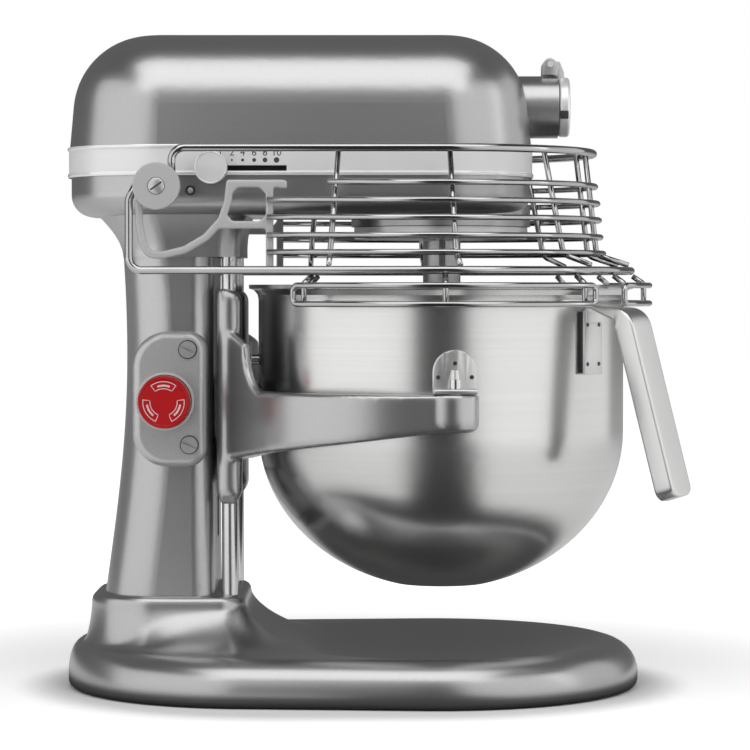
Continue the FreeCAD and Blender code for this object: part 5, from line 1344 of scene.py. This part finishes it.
@dataclass
class GuardBrackets:
    """Flat pressed brackets that carry the wire guard from its pivots, in millimetres."""

    near_y: float = 95.2
    far_y: float = 98.2
    band: float = 4.8
    web_r: float = 2.6
    voxel: float = 0.75
    smoothing: int = 4
    hoop: tuple[tuple[float, float], ...] = (
        (-75.1, 322.0), (-76.2, 310.9), (-80.2, 299.1), (-90.0, 288.4), (-103.2, 280.7), (-116.5, 277.6),
        (-125.6, 278.2), (-129.0, 286.0), (-131.0, 297.5), (-131.2, 312.0))
    bars: tuple[tuple[tuple[float, float], ...], ...] = (
        ((-77.0, 321.6), (-42.0, 321.6)), ((-42.2, 323.5), (-42.2, 318.6)), ((-50.6, 321.6), (-50.6, 269.7)),
        ((-82.5, 296.2), (-49.0, 296.2)))
    webs: tuple[tuple[float, float], ...] = (
        (-73.2, 318.6), (-53.6, 318.6), (-53.6, 299.2), (-76.6, 299.4), (-84.0, 294.4))

    def add_band(self, shape: bmesh.types.BMesh, points: Sequence[tuple[float, float]], side: int) -> None:
        """Adds a flat band along a line.

        Args:
            shape: Where the band goes.
            points: The line's points, as (x, height).
            side: -1 for the near bracket and 1 for the far one.
        """
        line = rounded_line([Vector((x, 0.0, z)) for x, z in points], 6.0, 4)
        last = len(line) - 1

        def place(column: int, row: int) -> Vector:
            """A vertex of the band's skin."""
            along = (line[min(row + 1, last)] - line[max(row - 1, 0)]).normalized()
            across = Vector((-along.z, 0.0, along.x)) * (self.band / 2 * (1 if column in (0, 1) else -1))
            depth = self.near_y if column in (0, 3) else self.far_y
            return line[row] + across + Vector((0.0, side * depth, 0.0))

        add_skin(shape, 4, last, place)

    def build(self) -> None:
        """Builds both brackets, with soft inner corners."""
        turn = Matrix.Rotation(QUARTER_TURN, 3, "X")
        shape = bmesh.new()
        for side in (-1, 1):
            for points in (self.hoop, *self.bars):
                self.add_band(shape, points, side)
            for x, z in self.webs:
                add_stud(shape, (self.web_r, self.web_r), self.far_y - self.near_y, turn,
                         (x, side * (self.near_y + self.far_y) / 2, z), 4)
        brackets = add_piece("guard_bracket_plates", shape, GUARD_GREY, "guard",
                             ["guard_bracket_near", "guard_bracket_far"], 80.0)
        soften(brackets, self.voxel, self.smoothing)


@dataclass
class GuardWires:
    """The guard's wires at their full thickness, with leaning uprights, in millimetres."""

    growth: tuple[tuple[str, float], ...] = (("guard_frame_wire", 0.5), ("guard_rings", 0.35),
                                             ("guard_uprights", 0.35), ("guard_skirt", 0.35))
    axis_x: float = BEATER_AXIS / MM
    rear_lean: float = 6.0
    leans: tuple[Pair, ...] = ((0.0, 2.4), (45.0, 7.0), (75.0, 2.0), (200.0, 0.0))
    lean_margin: float = 22.0
    rear_ahead: float = -20.0
    top_depth: float = 2.0

    def build(self) -> None:
        """Builds one piece for each kind of wire."""
        for node, growth in self.growth:
            shape = bmesh.new()
            shape.from_mesh(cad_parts[node].data)
            bmesh.ops.scale(shape, vec=(1 / MM,) * 3, verts=shape.verts)
            bmesh.ops.remove_doubles(shape, verts=shape.verts, dist=0.001)
            bmesh.ops.recalc_face_normals(shape, faces=shape.faces)
            shape.normal_update()
            for place, normal in [(vertex, vertex.normal.copy()) for vertex in shape.verts]:
                place.co += normal * growth
            if node == "guard_uprights":
                for wire in self.wires(shape):
                    self.lean(wire)
            add_piece(node + "_full", shape, GUARD_CHROME, "guard", (node,))

    def wires(self, shape: bmesh.types.BMesh) -> list[list[bmesh.types.BMVert]]:
        """Sorts a shape's points into its separate wires.

        Args:
            shape: The shape.

        Returns:
            The points of each wire.
        """
        left = set(shape.verts)
        found = []
        for start in shape.verts:
            if start not in left:
                continue
            left.discard(start)
            wire = [start]
            for point in wire:
                for edge in point.link_edges:
                    other = edge.other_vert(point)
                    if other in left:
                        left.discard(other)
                        wire.append(other)
            found.append(wire)
        return found

    def lean(self, wire: list[bmesh.types.BMVert]) -> None:
        """Slants one upright along the guard, with its top held still.

        Args:
            wire: The upright's points.
        """
        low = min(point.co.z for point in wire)
        high = max(point.co.z for point in wire)
        top = [point.co for point in wire if point.co.z > high - self.top_depth]
        ahead = sum(co.x for co in top) / len(top) - self.axis_x
        side = -1.0 if sum(co.y for co in top) < 0 else 1.0
        turn = next((lean for reach, lean in self.leans if ahead <= reach + self.lean_margin), 0.0)
        for point in wire:
            down = (high - point.co.z) / (high - low)
            if ahead < self.rear_ahead:
                point.co.x -= self.rear_lean * down
            else:
                spun = Matrix.Rotation(math.radians(-side * turn * down), 3, "Z")
                axis = Vector((self.axis_x, 0.0, 0.0))
                point.co = spun @ (point.co - axis) + axis


@dataclass
class Studio:
    """The floor, lamps, world and camera round the mixer, in metres."""

    floor_half: float = 8.0
    floor_tones: Pair = (0.06, 0.80)
    floor_glow: Pair = (0.44, 1.0)
    glow_range: Pair = (0.22, 0.70)
    lit_turn: Pair = (0.16, 0.50)
    lit_beyond: Pair = (0.24, 0.36)
    lit_sideways: Pair = (0.03, 0.10)
    lit_gap: Pair = (0.013, 0.073)
    lit_glow: float = 0.35
    room_range: Pair = (-0.10, 0.60)
    room_glow: Pair = (0.05, 0.14)
    base_straight: float = 0.043
    base_round: float = 0.142
    painted_shadow_reach: float = 0.04
    camera_place: Triple = (0.0143, -1.885, 0.2574)
    camera_pitch: float = 1.72
    lens: float = 139.2
    aim: Triple = (0.0, 0.0, 0.22)
    boxes: tuple[tuple[str, Triple, Pair, float], ...] = (
        ("left_box", (-1.375, -1.0, 0.75), (2.9, 1.6), 16.5),
        ("right_box", (1.263, -1.137, 0.75), (2.4, 1.6), 12.8),
        ("edge_box", (1.65, 0.30, 0.65), (1.7, 1.3), 5.4),
        ("top_box", (0.0, -0.75, 1.5), (1.6, 1.2), 12.0))

    def build(self) -> None:
        """Builds everything that isn't the object."""
        self.floor()
        self.world()
        for name, place, size, power in self.boxes:
            self.lamp(name, place, size, power)
        self.camera()

    def floor(self) -> None:
        """Makes a pale floor that keeps the object's shadow, adds a painted shadow in a band round the base,
        and is white elsewhere.
        """
        shape = bmesh.new()
        bmesh.ops.create_grid(shape, x_segments=1, y_segments=1, size=self.floor_half)
        mesh = bpy.data.meshes.new("studio_floor")
        shape.to_mesh(mesh)
        shape.free()
        material = bpy.data.materials.new("floor_white")
        material.use_nodes = True
        wiring = Wiring(material.node_tree)
        shader = material.node_tree.nodes["Principled BSDF"]
        shader.inputs["Roughness"].default_value = 0.9
        shader.inputs["Specular IOR Level"].default_value = 0.0
        shader.inputs["Emission Color"].default_value = (1.0, 1.0, 1.0, 1.0)
        seen = wiring.add("LightPath").outputs["Is Camera Ray"]
        tone = wiring.add("Mix", data_type="RGBA")
        for socket, grey in zip((6, 7), self.floor_tones):
            tone.inputs[socket].default_value = (grey, grey, grey, 1.0)
        place = wiring.add("TexCoord").outputs["Object"]
        parts = wiring.add("SeparateXYZ")
        wiring.link(place, parts.inputs[0])
        turn = wiring.math("ARCTAN2", wiring.math("SUBTRACT", parts.outputs[0], BEATER_AXIS),
                           wiring.math("MULTIPLY", parts.outputs[1], -1.0))
        aside = wiring.ramp(wiring.math("ABSOLUTE", turn), *self.lit_turn)
        away = wiring.add("VectorMath", operation="LENGTH")
        wiring.link(place, away.inputs[0])
        beyond = wiring.ramp(away.outputs["Value"], *self.lit_beyond)
        offset = wiring.math("ABSOLUTE", wiring.math("SUBTRACT", parts.outputs[0], BEATER_AXIS))
        sideways = wiring.ramp(offset, *self.lit_sideways)
        reach = self.reach(wiring, parts)
        clear = wiring.ramp(reach, *(self.base_round + gap for gap in self.lit_gap))
        # Painted shadow: the floor's glow fades out towards the base's edge, so a band round the base is
        # darker than its light makes it.
        painted_contact_shadow = wiring.ramp(reach, self.base_round, self.base_round + self.painted_shadow_reach)
        lit = wiring.math("MULTIPLY", wiring.math("MULTIPLY", aside, clear),
                          wiring.math("MAXIMUM", beyond, sideways))
        wiring.link(wiring.math("MAXIMUM", seen, lit), tone.inputs[0])
        wiring.link(tone.outputs[2], shader.inputs["Base Color"])
        glow = wiring.ramp(away.outputs["Value"], *self.glow_range, *self.floor_glow)
        shown = wiring.math("MULTIPLY", wiring.math("MULTIPLY", glow, seen), painted_contact_shadow)
        spill = wiring.math("MULTIPLY", wiring.math("MULTIPLY", lit, self.lit_glow),
                            wiring.math("LESS_THAN", seen, 0.5))
        wiring.link(wiring.math("ADD", shown, spill), shader.inputs["Emission Strength"])
        mesh.materials.append(material)
        floor = bpy.data.objects.new("studio_floor", mesh)
        bpy.context.scene.collection.objects.link(floor)

    def reach(self, wiring: Wiring, parts: bpy.types.Node) -> bpy.types.NodeSocket:
        """Measures how far a place on the floor is from the base's middle line.

        Args:
            wiring: The floor material's nodes.
            parts: The node that gives the place on the floor.

        Returns:
            The distance, which equals base_round at the base's edge.
        """
        past = wiring.math("MAXIMUM", wiring.math("SUBTRACT", wiring.math("ABSOLUTE", parts.outputs[0]),
                                                  self.base_straight), 0.0)
        spot = wiring.add("CombineXYZ")
        wiring.link(past, spot.inputs[0])
        wiring.link(parts.outputs[1], spot.inputs[1])
        reach = wiring.add("VectorMath", operation="LENGTH")
        wiring.link(spot.outputs[0], reach.inputs[0])
        return reach.outputs["Value"]

    def world(self) -> None:
        """Makes a room that is white behind the object and grey on the camera's side."""
        world = bpy.data.worlds.new("studio")
        bpy.context.scene.world = world
        world.use_nodes = True
        wiring = Wiring(world.node_tree)
        glow = world.node_tree.nodes["Background"]
        glow.inputs["Color"].default_value = (1.0, 1.0, 1.0, 1.0)
        parts = wiring.add("SeparateXYZ")
        wiring.link(wiring.add("TexCoord").outputs["Generated"], parts.inputs[0])
        room = wiring.ramp(parts.outputs[1], *self.room_range, *self.room_glow)
        path = wiring.add("LightPath")
        seen = wiring.math("MAXIMUM", path.outputs["Is Camera Ray"], path.outputs["Is Transmission Ray"])
        wiring.link(wiring.math("MAXIMUM", room, seen), glow.inputs["Strength"])

    def lamp(self, name: str, place: Triple, size: tuple[float, float], power: float) -> None:
        """Adds a soft box that faces the object.

        Args:
            name: The lamp's name.
            place: Where it stands.
            size: Its width and height.
            power: Its power in watts.
        """
        data = bpy.data.lights.new(name, "AREA")
        data.shape = "RECTANGLE"
        data.size, data.size_y = size
        data.energy = power
        lamp = bpy.data.objects.new(name, data)
        lamp.location = place
        lamp.rotation_euler = (Vector(self.aim) - Vector(place)).to_track_quat("-Z", "Y").to_euler()
        bpy.context.scene.collection.objects.link(lamp)

    def camera(self) -> None:
        """Sets the camera at the photograph's viewing angle."""
        data = bpy.data.cameras.new("camera")
        data.lens = self.lens
        camera = bpy.data.objects.new("camera", data)
        camera.location = self.camera_place
        camera.rotation_euler = (math.radians(90 - self.camera_pitch), 0.0, 0.0)
        bpy.context.scene.collection.objects.link(camera)
        bpy.context.scene.camera = camera
        bpy.context.scene.view_settings.view_transform = "Standard"


def main() -> None:
    """Dresses the frame, builds the added pieces and sets up the studio."""
    logging.basicConfig(level=logging.INFO, format="%(message)s")
    dress_frame()
    for assembly in (BaseCasting(), Yoke(), BowlFittings(), HeadTrim(), StopButton(), HeadFittings(),
                     HubHinge(), GuardBrackets(), GuardWires(), Studio()):
        assembly.build()


if __name__ == "__main__":
    main()
